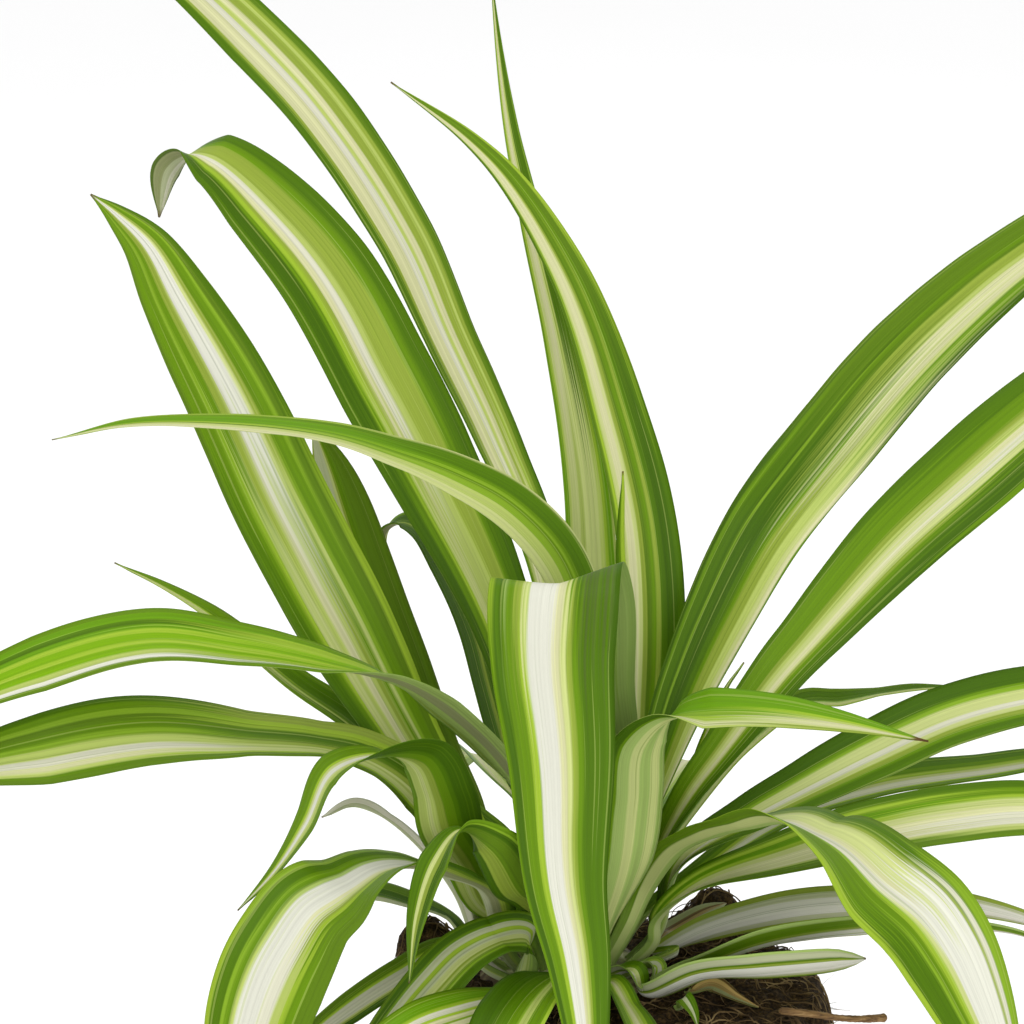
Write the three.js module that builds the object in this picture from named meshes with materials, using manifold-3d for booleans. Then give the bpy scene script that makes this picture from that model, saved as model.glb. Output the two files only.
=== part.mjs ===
// Potted spider plant: a clay pot, a root ball that stands proud of its rim, a low crown and
// forty-one long leaves, most of which leave the crown and arch outwards, and a twig.
// Millimetres, +Z up. The origin is the middle of the pot's flat foot; the front is -Y.

import * as THREE from "three";
import { mergeVertices } from "three/addons/utils/BufferGeometryUtils.js";
import Module from "manifold-3d";

const wasm = await Module();
wasm.setup();

// ---------------------------------------------------------------- driving dimensions
const CLEARANCE = 0.3; // between pieces that rest on each other

const POT = {
  rimRadius: 60,
  rimHeight: 17, // height of the thicker band round the mouth
  bandStep: 4.5, // how far the band stands out from the wall
  footRadius: 42,
  height: 100,
  wall: 4.5,
  floor: 6,
  edge: 1.2, // small chamfer on the foot and the rim
  drainRadius: 4,
  drainRing: 22, // the drain holes stand round the solid middle of the foot
  drainHoles: 4,
  sides: 48,
};

const ROOT_BALL = {
  centreHeight: 125, // top of the compost at the middle of the pot
  sag: 0.0018, // fall of the top per square millimetre of radius
  shoulderRadius: 49.5, // where the top starts to round over
  shoulderFall: 0.45,
  radius: 53, // of the part that stands proud of the rim
  roughness: 0.9, // height of the lumps in its top
  lumps: [
    { x: 27, y: 37, radius: 15, height: 11 }, // a raised clod at the back right
    { x: -45, y: 16, radius: 14, height: 12 }, // another at the left
  ],
  rings: 9,
};

const CROWN = {
  x: -9,
  y: -2,
  peak: 133, // height of the middle of the crown
  slope: 0.35, // fall of its top per millimetre of radius
  radius: 21.5,
  depth: 12, // how deep it stands in its hole in the compost, below its rim
  sides: 36,
};

const BLADE = {
  thickness: 0.7,
  tipWidth: 1,
  rooted: 3, // each leaf starts this far inside the crown and is trimmed to its top
  stepsPerSpan: 12, // fineness of the spine curve between two of its points
  sectionEvery: 17, // mm of leaf per cross-section where it runs straight
  turnPerSection: 0.28, // radians of bend per cross-section where it curls
};

// a twig that lies on the compost and sticks out over the rim: [x, y, z, radius] along it
const TWIG = {
  sides: 8,
  bends: [
    [39.5, -25, 123.2, 0.9],
    [47, -24, 122.1, 0.9],
    [53, -23, 120.8, 0.8],
    [59, -22, 120.1, 0.8],
    [65, -20, 119.7, 1.1],
  ],
};

// ---------------------------------------------------------------- the leaves
// Each leaf leaves the crown on a ring of the given radius at a compass heading (0 = right,
// 90 = back), leans outwards by `lean` and goes straight for `rise` mm. It then follows the
// points [x, y, z, turn]; turn is the blade's roll in degrees about its own spine.
// A leaf with a `start` height lies clear of the crown, on the compost; a dry one is brown.
// width is its greatest width, base the share of it at the crown, belly the place of the widest
// part along the leaf, and taper how blunt the tip is. fold is the angle that each half stands
// up from flat at the base, in the middle and at the tip.
const LEAVES = {
  leaf_centre_young: {
    ring: 3, heading: 330, lean: 0.1, rise: 14, width: 6.5, base: 0.38, belly: 0.5, taper: 2,
    fold: [50, 50, 50],
    path: [[1, 1, 176, -30], [4, 4, 210, -30], [3, 4, 229, -30], [3, 3, 246, -30]],
  },
  leaf_centre_tall: {
    ring: 7.5, heading: 78, lean: 0.3, rise: 13, width: 17.5, base: 0.38, belly: 0.35, taper: 1.7,
    fold: [60, 15, 10],
    path: [[6, 18, 161, 25], [10, 29, 185, 25], [9, 36, 223, 30], [2, 44, 252, 30],
      [-8, 52, 280, 30], [-22, 57, 303, 30], [-33, 61, 314, 35], [-52, 66, 327, 45]],
  },
  leaf_left_tallest: {
    ring: 7.6, heading: 124, lean: 0.3, rise: 13, width: 17.5, base: 0.32, belly: 0.6, taper: 2,
    fold: [60, 15, 10],
    path: [[-7, 13, 163, -5], [-11, 24, 194, -5], [-17, 40, 220, -10], [-27, 56, 241, -10],
      [-39, 70, 264, -10], [-50, 82, 286, -15], [-68, 94, 312, -20], [-87, 106, 331, -25],
      [-110, 114, 350, -15], [-138, 120, 363, -5], [-169, 124, 363, 0], [-197, 126, 351, 5]],
  },
  leaf_left_long_thin: {
    ring: 4.5, heading: 215, lean: 0.1, rise: 14, width: 14.5, base: 0.38, belly: 0.4, taper: 2,
    fold: [60, 15, 10],
    path: [[-7, -5, 168, -55], [-6, -7, 198, -65], [-9, -9, 220, -85], [-14, -11, 231, -80],
      [-24, -14, 242, -70], [-35, -17, 249, -60], [-48, -20, 255, -45], [-64, -24, 261, -35],
      [-86, -29, 265, -35], [-109, -33, 266, -35], [-126, -36, 263, -15]],
  },
  leaf_front_creased: {
    ring: 7.5, heading: 278, lean: 0.3, rise: 13, width: 31.2, base: 0.26, belly: 0.4, taper: 1.6,
    fold: [45, 11, 8],
    path: [[-2, -17, 172, -5], [-8, -25, 201, -5], [-10, -34, 222, -5], [-12, -41, 231, -10],
      [-13, -45, 230, -25], [-14, -48, 217, -45], [-12, -53, 193, -50], [-11, -60, 167, -50],
      [-8, -65, 150, -50], [-6, -70, 133, -50], [-5, -73, 117, -50], [-4, -75, 101, -50]],
  },
  leaf_right_tall: {
    ring: 7.9, heading: 24, lean: 0.3, rise: 13, width: 23.5, base: 0.32, belly: 0.45, taper: 2,
    fold: [60, 15, 10],
    path: [[9, 10, 161, 45], [19, 19, 188, 45], [32, 28, 214, 40], [40, 34, 226, 40],
      [54, 48, 240, 40], [77, 70, 261, 45], [105, 90, 280, 45], [130, 104, 292, 50],
      [156, 116, 296, 50], [183, 126, 285, 30]],
  },
  leaf_left_upper_arch: {
    ring: 8.5, heading: 220, lean: 0.3, rise: 13, width: 17.5, base: 0.38, belly: 0.6, taper: 2,
    fold: [60, 15, 10],
    path: [[-15, -11, 160, -15], [-27, -14, 181, 10], [-39, -16, 193, 10], [-50, -18, 201, -10],
      [-67, -20, 206, -40], [-85, -22, 210, -50], [-106, -24, 213, -60], [-131, -25, 207, -75],
      [-159, -26, 194, -60], [-180, -27, 175, -35]],
  },
  leaf_right_sliver: {
    ring: 12, heading: 44, lean: 0.55, rise: 11, width: 4, base: 0.38, belly: 0.4, taper: 2,
    fold: [60, 15, 10],
    path: [[18, 10, 164, -5], [23, 10, 179, -5], [28, 9, 192, -5], [32, 9, 198, -5]],
  },
  leaf_centre_back: {
    ring: 11.5, heading: 98, lean: 0.55, rise: 11, width: 14, base: 0.38, belly: 0.35, taper: 1.3,
    fold: [60, 15, 10],
    path: [[-1, 30, 157, 5], [-3, 50, 197, 10], [-5, 64, 229, 10], [-11, 76, 261, 15],
      [-18, 84, 289, 15], [-23, 89, 311, 20], [-26, 92, 331, 20], [-28, 94, 350, 20]],
  },
  leaf_left_bent_tip: {
    ring: 11.5, heading: 140, lean: 0.55, rise: 11, width: 27, base: 0.25, belly: 0.6, taper: 3.3,
    fold: [60, 15, 10],
    path: [[-16, 12, 159, -10], [-20, 17, 184, -10], [-27, 26, 206, -15], [-40, 36, 232, -20],
      [-53, 44, 256, -25], [-68, 52, 282, -25], [-84, 58, 300, -25], [-95, 60, 309, -15],
      [-101, 62, 310, 30], [-106, 62, 306, 65], [-108, 60, 295, 80]],
  },
  leaf_left_narrow: {
    ring: 9.5, heading: 165, lean: 0.3, rise: 13, width: 10, base: 0.38, belly: 0.4, taper: 2,
    fold: [60, 15, 10],
    path: [[-23, 5, 153, -5], [-34, 9, 161, -30], [-51, 10, 174, -35], [-61, 12, 183, -35],
      [-74, 13, 192, -35], [-94, 16, 208, -35], [-106, 17, 215, -30], [-117, 18, 220, -20]],
  },
  leaf_left_broad: {
    ring: 11.3, heading: 186, lean: 0.55, rise: 11, width: 25, base: 0.235, belly: 0.5, taper: 4,
    fold: [60, 15, 10],
    path: [[-32, 1, 155, -50], [-48, 6, 180, -60], [-62, 11, 205, -70], [-77, 16, 233, -70],
      [-90, 21, 260, -65], [-102, 25, 282, -60], [-109, 29, 294, -60], [-116, 31, 301, -55],
      [-122, 32, 306, -50]],
  },
  leaf_left_dropping: {
    ring: 12, heading: 234, lean: 0.55, rise: 11, width: 16.5, base: 0.25, belly: 0.45, taper: 1.8,
    fold: [60, 15, 10],
    path: [[-29, -15, 147, 65], [-32, -20, 157, 55], [-37, -27, 168, 35], [-39, -29, 177, 15],
      [-43, -31, 186, 15], [-53, -33, 188, -20], [-64, -33, 184, -55], [-70, -34, 172, -60],
      [-77, -34, 161, -55], [-86, -34, 151, -50]],
  },
  leaf_front_small_drop: {
    ring: 11.5, heading: 261, lean: 0.55, rise: 11, width: 13.5, base: 0.22, belly: 0.52, taper: 2,
    fold: [60, 15, 10],
    path: [[-18, -30, 152, 30], [-21, -47, 161, 20], [-27, -57, 174, 0], [-34, -57, 178, -45],
      [-40, -60, 171, -80], [-44, -61, 159, -85], [-46, -61, 143, -80]],
  },
  leaf_right_folded: {
    ring: 11, heading: 298, lean: 0.55, rise: 11, width: 17.5, base: 0.4, belly: 0.35, taper: 2,
    fold: [40, 18, 15],
    path: [[4, -24, 158, -5], [6, -27, 175, 0], [7, -31, 189, 0], [13, -34, 197, 25],
      [22, -36, 199, 65], [36, -40, 200, 65], [53, -45, 199, 65], [71, -48, 196, 55]],
  },
  leaf_right_front_arch: {
    ring: 11.5, heading: 335, lean: 0.55, rise: 11, width: 29, base: 0.26, belly: 0.45, taper: 3,
    fold: [60, 15, 10],
    path: [[10, -7, 146, -10], [17, -12, 158, -15], [26, -20, 165, -20], [33, -27, 169, -20],
      [40, -33, 172, -25], [46, -38, 171, -25], [53, -42, 168, -10], [61, -46, 161, 10],
      [70, -49, 154, 20], [76, -52, 146, 25], [82, -54, 134, 25], [88, -56, 120, 25],
      [93, -58, 106, 15]],
  },
  leaf_right_second: {
    ring: 11.5, heading: 14, lean: 0.55, rise: 11, width: 24, base: 0.2, belly: 0.62, taper: 2,
    fold: [60, 15, 10],
    path: [[12, 3, 153, 35], [19, 0, 168, 40], [26, 0, 178, 35], [40, 4, 196, 35],
      [47, 8, 203, 35], [69, 21, 224, 45], [88, 30, 239, 45], [104, 37, 251, 40],
      [128, 46, 267, 30], [155, 54, 273, 25], [183, 62, 269, 20]],
  },
  leaf_left_back_curl: {
    ring: 15, heading: 142, lean: 0.9, rise: 9, width: 12.5, base: 0.38, belly: 0.5, taper: 5,
    fold: [60, 15, 10],
    path: [[-18, 24, 154, -5], [-23, 33, 166, -10], [-28, 44, 181, -10], [-32, 54, 193, -10],
      [-39, 62, 206, -5], [-45, 66, 215, -5], [-50, 68, 217, -5], [-54, 67, 215, 45],
      [-55, 66, 207, 70]],
  },
  leaf_left_behind: {
    ring: 15.5, heading: 168, lean: 0.9, rise: 9, width: 15.5, base: 0.38, belly: 0.5, taper: 6,
    fold: [60, 15, 10],
    path: [[-34, 14, 157, -45], [-43, 24, 173, -45], [-50, 31, 191, -45], [-58, 38, 212, -45],
      [-63, 43, 226, -45], [-67, 47, 237, -45], [-71, 50, 246, -40]],
  },
  leaf_front_left_arch: {
    ring: 15.5, heading: 220, lean: 0.9, rise: 9, width: 27.5, base: 0.2, belly: 0.5, taper: 4,
    fold: [60, 15, 10],
    path: [[-30, -28, 154, 0], [-39, -35, 160, 10], [-46, -38, 163, 10], [-53, -42, 163, 5],
      [-59, -45, 160, -5], [-63, -47, 158, -20], [-68, -49, 155, -30], [-73, -51, 148, -40],
      [-77, -53, 141, -50], [-81, -55, 130, -55], [-84, -57, 117, -40], [-87, -58, 102, -25]],
  },
  leaf_right_thin: {
    ring: 15.5, heading: 52, lean: 0.9, rise: 9, width: 8, base: 0.38, belly: 0.5, taper: 2,
    fold: [60, 15, 10],
    path: [[15, 26, 148, -10], [32, 38, 167, -10], [48, 44, 178, 0], [57, 46, 178, 5],
      [67, 48, 179, -15], [76, 49, 180, -5], [90, 50, 180, -20]],
  },
  leaf_right_middle: {
    ring: 15.5, heading: 33, lean: 0.9, rise: 9, width: 13, base: 0.38, belly: 0.5, taper: 2,
    fold: [60, 15, 10],
    path: [[20, 14, 142, 0], [42, 20, 156, 5], [66, 24, 163, 5], [90, 26, 166, 0],
      [114, 28, 168, 0], [144, 30, 160, -5]],
  },
  leaf_right_upper: {
    ring: 15.5, heading: 1, lean: 0.9, rise: 9, width: 18, base: 0.28, belly: 0.45, taper: 2,
    fold: [60, 15, 10],
    path: [[17, -1, 151, 30], [34, 2, 162, 40], [46, 4, 168, 40], [63, 7, 176, 45],
      [81, 9, 184, 45], [102, 11, 189, 45], [129, 13, 191, 30], [155, 15, 183, 25],
      [178, 17, 170, 5]],
  },
  leaf_right_lower: {
    ring: 15.5, heading: 342, lean: 0.9, rise: 9, width: 17, base: 0.3, belly: 0.45, taper: 2,
    fold: [60, 15, 10],
    path: [[12, -9, 140, 20], [21, -11, 149, 30], [42, -12, 157, 40], [59, -12, 162, 45],
      [80, -11, 166, 50], [101, -9, 167, 55], [128, -4, 159, 40], [152, 0, 143, 25]],
  },
  leaf_low_left_shaded: {
    ring: 18.6, heading: 174.5, lean: 1.3, rise: 8, width: 9, base: 0.38, belly: 0.4, taper: 2,
    fold: [60, 15, 10],
    path: [[-38, 4, 136, 0], [-47, 6, 139, -15], [-57, 8, 141, -25], [-71, 10, 137, -30],
      [-86, 12, 128, -25]],
  },
  leaf_left_lower_arch: {
    ring: 18.5, heading: 193, lean: 1.3, rise: 8, width: 21.5, base: 0.32, belly: 0.6, taper: 2,
    fold: [60, 15, 10],
    path: [[-31, -8, 147, -55], [-38, -9, 160, -55], [-45, -9, 172, -55], [-55, -11, 180, -30],
      [-67, -13, 184, -15], [-84, -15, 186, -20], [-107, -17, 188, -40], [-131, -19, 185, -65],
      [-151, -20, 180, -50], [-169, -21, 167, -15]],
  },
  leaf_left_small_arch: {
    ring: 17.3, heading: 210, lean: 1.3, rise: 8, width: 7.4, base: 0.28, belly: 0.4, taper: 6,
    fold: [60, 15, 10],
    path: [[-36, -10, 147, 5], [-45, -12, 160, 5], [-53, -15, 168, 10], [-60, -19, 172, 40],
      [-67, -20, 169, 45]],
  },
  leaf_low_left_rear: {
    ring: 18.5, heading: 226, lean: 2, rise: 8, width: 10, base: 0.38, belly: 0.4, taper: 2,
    fold: [60, 15, 10],
    path: [[-37, -22, 137, -35], [-48, -28, 133, -40], [-60, -31, 126, -45],
      [-72, -34, 117, -35], [-86, -36, 102, -20]],
  },
  leaf_low_left_front: {
    ring: 18.5, heading: 243, lean: 2, rise: 8, width: 14, base: 0.38, belly: 0.5, taper: 2,
    fold: [60, 15, 10],
    path: [[-19, -29, 143, -95], [-26, -36, 145, -35], [-34, -37, 141, -45],
      [-41, -41, 135, -50], [-50, -47, 126, -50], [-58, -50, 116, -40], [-64, -53, 100, -20]],
  },
  leaf_low_front_left: {
    ring: 18.5, heading: 260, lean: 2, rise: 8, width: 14, base: 0.38, belly: 0.5, taper: 2,
    fold: [60, 15, 10],
    path: [[-19, -41, 133, 0], [-32, -54, 134, -25], [-44, -63, 133, -35], [-55, -67, 127, -35],
      [-69, -70, 113, -10]],
  },
  leaf_low_front: {
    ring: 18, heading: 276, lean: 2, rise: 8, width: 19, base: 0.38, belly: 0.5, taper: 2,
    fold: [60, 15, 10],
    path: [[-13, -43, 138, -5], [-20, -60, 138, -5], [-25, -68, 132, -15], [-30, -72, 119, -20],
      [-33, -74, 101, -15]],
  },
  leaf_low_right_rear: {
    ring: 18, heading: 352, lean: 2, rise: 8, width: 10, base: 0.38, belly: 0.4, taper: 2,
    fold: [60, 15, 10],
    path: [[11, 1, 127, -60], [22, 2, 133, -85], [41, 3, 138, -90], [60, 3, 140, -90],
      [81, 3, 140, -85], [103, 3, 135, -65], [122, 3, 126, -45]],
  },
  leaf_low_right_front: {
    ring: 17, heading: 325, lean: 2, rise: 8, width: 12.5, base: 0.38, belly: 0.4, taper: 2,
    fold: [60, 15, 10],
    path: [[10, -18, 126, -50], [21, -22, 133, -25], [37, -25, 140, -30], [58, -27, 144, -35],
      [81, -28, 145, -30], [97, -29, 143, -20], [109, -30, 136, 0]],
  },
  leaf_low_right_blunt: {
    ring: 15.8, heading: 307, lean: 2, rise: 9, width: 13.5, base: 0.38, belly: 0.6, taper: 6,
    fold: [60, 15, 10],
    path: [[8, -24, 127, -55], [21, -28, 133, -50], [35, -30, 135, -55], [48, -32, 137, -55],
      [59, -33, 139, -55]],
  },
  leaf_back_middle: {
    ring: 15.5, heading: 98, lean: 0.9, rise: 9, width: 15, base: 0.38, belly: 0.5, taper: 2,
    fold: [60, 15, 10],
    path: [[-8, 34, 151, 10], [-11, 62, 161, 15], [-12, 95, 160, 15], [-12, 128, 150, 10],
      [-11, 155, 133, 5], [-11, 172, 112, 0]],
  },
  leaf_back_right: {
    ring: 15.5, heading: 74, lean: 0.9, rise: 9, width: 13, base: 0.38, belly: 0.5, taper: 2,
    fold: [60, 15, 10],
    path: [[8, 36, 148, -10], [16, 62, 152, -10], [22, 92, 148, -10], [25, 120, 135, -5],
      [26, 142, 120, 0]],
  },
  leaf_back_left: {
    ring: 15.5, heading: 121, lean: 0.9, rise: 9, width: 14, base: 0.38, belly: 0.5, taper: 2,
    fold: [60, 15, 10],
    path: [[-17, 36, 148, 10], [-27, 64, 152, 10], [-34, 96, 149, 10], [-39, 126, 136, 5],
      [-42, 148, 117, 0]],
  },
  leaf_low_front_right: {
    ring: 18, heading: 292, lean: 2, rise: 8, width: 10, base: 0.38, belly: 0.4, taper: 2,
    fold: [60, 15, 10],
    path: [[3, -34, 129, -30], [7, -52, 127, -20], [10, -62, 119, -15], [12, -67, 103, -25]],
  },
  leaf_tiny_on_soil: {
    ring: 36, heading: 313, lean: 1.6, rise: 2, width: 4, base: 0.6, belly: 0.4, taper: 2,
    fold: [60, 15, 10], start: 124.9,
    path: [[17, -32, 129, 10], [19, -36, 127, -30], [20, -40, 125, -35]],
  },
  dry_leaf_stub: {
    ring: 18, heading: 22, lean: 1.6, rise: 8, width: 7, base: 0.38, belly: 0.4, taper: 6,
    fold: [60, 15, 10], dry: true,
    path: [[16, 13, 130, 10], [24, 18, 133, 10], [29, 21, 134, 10]],
  },
  dead_leaf_on_soil: {
    ring: 31.5, heading: 330, lean: 8, rise: 1.5, width: 6, base: 0.45, belly: 0.35, taper: 1.3,
    fold: [20, 25, 15], start: 125.4, dry: true,
    path: [[24, -16, 126, 35], [29, -20, 125, 25], [35, -22, 123, 25]],
  },
};

// ---------------------------------------------------------------- small helpers
function smoothstep(value) {
  const x = Math.min(Math.max(value, 0), 1);
  return x * x * (3 - 2 * x);
}

function toSolid(geometry) {
  const bare = geometry.clone();
  bare.deleteAttribute("normal");
  bare.deleteAttribute("uv");
  const merged = mergeVertices(bare, 1e-4);
  return new wasm.Manifold(
    new wasm.Mesh({
      numProp: 3,
      vertProperties: new Float32Array(merged.attributes.position.array),
      triVerts: new Uint32Array(merged.index.array),
    }),
  );
}

function toGeometry(solid) {
  const mesh = solid.getMesh();
  const geometry = new THREE.BufferGeometry();
  geometry.setAttribute("position", new THREE.BufferAttribute(mesh.vertProperties, 3));
  geometry.setIndex(new THREE.BufferAttribute(mesh.triVerts, 1));
  geometry.computeVertexNormals();
  return geometry;
}

// a solid of revolution about +Z; the profile holds [radius, height] pairs, from foot to top
function turned(profile, sides) {
  const outline = profile.map(([radius, height]) => new THREE.Vector2(radius, height));
  return new THREE.LatheGeometry(outline, sides).rotateX(Math.PI / 2);
}

function part(name, geometry, color, roughness) {
  const material = new THREE.MeshStandardMaterial({ color, roughness, metalness: 0 });
  const mesh = new THREE.Mesh(geometry, material);
  mesh.name = name;
  return mesh;
}

// ---------------------------------------------------------------- pot
const BAND_FOOT = POT.height - POT.rimHeight;
const WALL_TOP_RADIUS = POT.rimRadius - POT.bandStep;

function potGeometry() {
  const inside = POT.rimRadius - POT.wall;
  const profile = [
    [0, 0],
    [POT.footRadius - POT.edge, 0],
    [POT.footRadius, POT.edge],
    [WALL_TOP_RADIUS, BAND_FOOT],
    [POT.rimRadius - POT.edge, BAND_FOOT],
    [POT.rimRadius, BAND_FOOT + POT.edge],
    [POT.rimRadius, POT.height - POT.edge],
    [POT.rimRadius - POT.edge, POT.height],
    [inside + POT.edge, POT.height],
    [inside, POT.height - POT.edge],
    [inside, BAND_FOOT + POT.wall],
    [WALL_TOP_RADIUS - POT.wall, BAND_FOOT],
    [POT.footRadius - POT.wall, POT.floor],
    [0, POT.floor],
  ];
  let pot = toSolid(turned(profile, POT.sides));
  for (let i = 0; i < POT.drainHoles; i += 1) {
    const angle = ((i + 0.5) / POT.drainHoles) * 2 * Math.PI;
    const drill = new THREE.CylinderGeometry(POT.drainRadius, POT.drainRadius, 4 * POT.floor, 20);
    drill.rotateX(Math.PI / 2);
    drill.translate(POT.drainRing * Math.cos(angle), POT.drainRing * Math.sin(angle), 0);
    pot = pot.subtract(toSolid(drill));
  }
  return toGeometry(pot);
}

// ---------------------------------------------------------------- compost and roots
function compostHeight(x, y) {
  const r = Math.hypot(x, y);
  const over = Math.max(r - ROOT_BALL.shoulderRadius, 0);
  let clods = 0;
  for (const lump of ROOT_BALL.lumps) {
    clods += lump.height * smoothstep(1 - Math.hypot(x - lump.x, y - lump.y) / lump.radius);
  }
  const grain =
    Math.sin(0.31 * x + 1.3) * Math.cos(0.27 * y - 0.4) + 0.6 * Math.sin(0.55 * x - 0.48 * y);
  return (
    ROOT_BALL.centreHeight -
    ROOT_BALL.sag * r * r -
    ROOT_BALL.shoulderFall * over * over +
    clods +
    ROOT_BALL.roughness * grain
  );
}

function rootBallGeometry() {
  const { rings, radius } = ROOT_BALL;
  const { sides } = POT;
  const points = [0, 0, compostHeight(0, 0)];
  const faces = [];
  const ringPoint = (r, angle, z) => {
    const x = r * Math.cos(angle);
    const y = r * Math.sin(angle);
    points.push(x, y, z ?? compostHeight(x, y));
  };
  const inside = POT.rimRadius - POT.wall - CLEARANCE;
  const neck = WALL_TOP_RADIUS - POT.wall - CLEARANCE;
  const flank = [
    [inside - 1.2, POT.height + 1],
    [inside, POT.height - 3],
    [inside, BAND_FOOT + POT.wall + 0.5],
    [neck, BAND_FOOT + 0.2],
    [POT.footRadius - POT.wall - CLEARANCE, POT.floor + CLEARANCE],
  ];
  for (let ring = 1; ring <= rings; ring += 1) {
    for (let i = 0; i < sides; i += 1) {
      const angle = (i / sides) * 2 * Math.PI;
      const wobble = 0.8 * Math.sin(3 * angle + 1) + 0.6 * Math.sin(7 * angle);
      ringPoint((radius + (ring === rings ? wobble : 0)) * (ring / rings), angle);
    }
  }
  for (const [r, z] of flank) {
    for (let i = 0; i < sides; i += 1) {
      ringPoint(r, (i / sides) * 2 * Math.PI, z);
    }
  }
  const loops = rings + flank.length;
  const at = (loop, i) => 1 + loop * sides + (i % sides);
  for (let i = 0; i < sides; i += 1) {
    faces.push(0, at(0, i), at(0, i + 1));
    for (let loop = 0; loop < loops - 1; loop += 1) {
      faces.push(at(loop, i), at(loop + 1, i), at(loop + 1, i + 1));
      faces.push(at(loop, i), at(loop + 1, i + 1), at(loop, i + 1));
    }
  }
  const bottom = points.length / 3;
  points.push(0, 0, POT.floor + CLEARANCE);
  for (let i = 0; i < sides; i += 1) {
    faces.push(bottom, at(loops - 1, i + 1), at(loops - 1, i));
  }
  const geometry = new THREE.BufferGeometry();
  geometry.setAttribute("position", new THREE.Float32BufferAttribute(points, 3));
  geometry.setIndex(faces);
  return toGeometry(toSolid(geometry).subtract(crownSolid(CLEARANCE)));
}

// ---------------------------------------------------------------- crown
function crownTop(radius) {
  return CROWN.peak - CROWN.slope * radius;
}

// the crown, or with a margin the room it needs
function crownSolid(margin) {
  const radius = CROWN.radius + margin;
  const profile = [
    [0, crownTop(CROWN.radius) - CROWN.depth - margin],
    [radius, crownTop(CROWN.radius) - CROWN.depth - margin],
    [radius, crownTop(radius) - CLEARANCE + 1.1 * margin],
    [0, crownTop(0) - CLEARANCE + 1.1 * margin],
  ];
  return toSolid(turned(profile, CROWN.sides).translate(CROWN.x, CROWN.y, 0));
}

// ---------------------------------------------------------------- twig
function twigGeometry() {
  const { sides, bends } = TWIG;
  const points = [];
  const faces = [];
  bends.forEach(([x, y, z, radius], k) => {
    for (let i = 0; i < sides; i += 1) {
      const angle = (i / sides) * 2 * Math.PI;
      points.push(x, y + radius * Math.cos(angle), z + radius * Math.sin(angle));
      if (k > 0) {
        const here = k * sides + i;
        const next = k * sides + ((i + 1) % sides);
        faces.push(here - sides, next - sides, next, here - sides, next, here);
      }
    }
  });
  const last = (bends.length - 1) * sides;
  for (let i = 1; i < sides - 1; i += 1) {
    faces.push(0, i + 1, i, last, last + i, last + i + 1);
  }
  const geometry = new THREE.BufferGeometry();
  geometry.setAttribute("position", new THREE.Float32BufferAttribute(points, 3));
  geometry.setIndex(faces);
  return toGeometry(toSolid(geometry));
}

// ---------------------------------------------------------------- leaf
// the fine spine of a leaf: positions with the blade's turn, from inside the crown to the tip
function leafSpine(leaf) {
  const heading = THREE.MathUtils.degToRad(leaf.heading);
  const outwards = new THREE.Vector3(Math.cos(heading), Math.sin(heading), 0);
  const foot = new THREE.Vector3(CROWN.x, CROWN.y, leaf.start ?? crownTop(leaf.ring));
  foot.addScaledVector(outwards, leaf.ring);
  const direction = outwards.clone().multiplyScalar(leaf.lean).setZ(1).normalize();
  const rooted = leaf.start ? 0 : BLADE.rooted;
  const points = [
    foot.clone().addScaledVector(direction, -rooted),
    foot.clone().addScaledVector(direction, leaf.rise),
    ...leaf.path.map(([x, y, z]) => new THREE.Vector3(x, y, z)),
  ];
  const turns = [0, 0, ...leaf.path.map((point) => point[3])];
  const curve = new THREE.CatmullRomCurve3(points, false, "centripetal");
  const count = (points.length - 1) * BLADE.stepsPerSpan;
  const spine = [];
  for (let i = 0; i <= count; i += 1) {
    const span = Math.min(Math.floor(i / BLADE.stepsPerSpan), points.length - 2);
    const share = i / BLADE.stepsPerSpan - span;
    const turn = THREE.MathUtils.lerp(turns[span], turns[span + 1], share);
    spine.push({ place: curve.getPoint(i / count), turn: THREE.MathUtils.degToRad(turn) });
  }
  return { spine, heading };
}

// where the cross-sections go: closer together where the spine bends
function sectionPlaces(spine) {
  const travelled = [0];
  const effort = [0];
  for (let i = 1; i < spine.length; i += 1) {
    const step = spine[i].place.clone().sub(spine[i - 1].place);
    const next = spine[Math.min(i + 1, spine.length - 1)].place.clone().sub(spine[i].place);
    const bend = next.length() > 0 ? step.angleTo(next) : 0;
    const roll = 0.5 * Math.abs(spine[i].turn - spine[i - 1].turn);
    travelled.push(travelled[i - 1] + step.length());
    const share = step.length() / BLADE.sectionEvery + (bend + roll) / BLADE.turnPerSection;
    effort.push(effort[i - 1] + share);
  }
  const total = effort[effort.length - 1];
  const count = Math.max(7, Math.round(total));
  const places = [];
  let i = 1;
  for (let k = 0; k <= count; k += 1) {
    const target = (total * k) / count;
    while (i < spine.length - 1 && effort[i] < target) {
      i += 1;
    }
    const share = Math.min(Math.max((target - effort[i - 1]) / (effort[i] - effort[i - 1]), 0), 1);
    places.push({
      place: spine[i - 1].place.clone().lerp(spine[i].place, share),
      turn: THREE.MathUtils.lerp(spine[i - 1].turn, spine[i].turn, share),
      along:
        THREE.MathUtils.lerp(travelled[i - 1], travelled[i], share) /
        travelled[travelled.length - 1],
    });
  }
  return places;
}

function bladeWidth(leaf, along) {
  const swell = leaf.base + (1 - leaf.base) * smoothstep(along / leaf.belly);
  const past = Math.max((along - leaf.belly) / (1 - leaf.belly), 0);
  const share = along < leaf.belly ? swell : 1 - past ** leaf.taper;
  return Math.max(leaf.width * share, BLADE.tipWidth);
}

function bladeFold(leaf, along) {
  const [base, middle, tip] = leaf.fold;
  const opened = base + (middle - base) * smoothstep(along / 0.3);
  const angle = along < 0.3 ? opened : middle + (tip - middle) * smoothstep((along - 0.3) / 0.7);
  return THREE.MathUtils.degToRad(angle);
}

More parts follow.
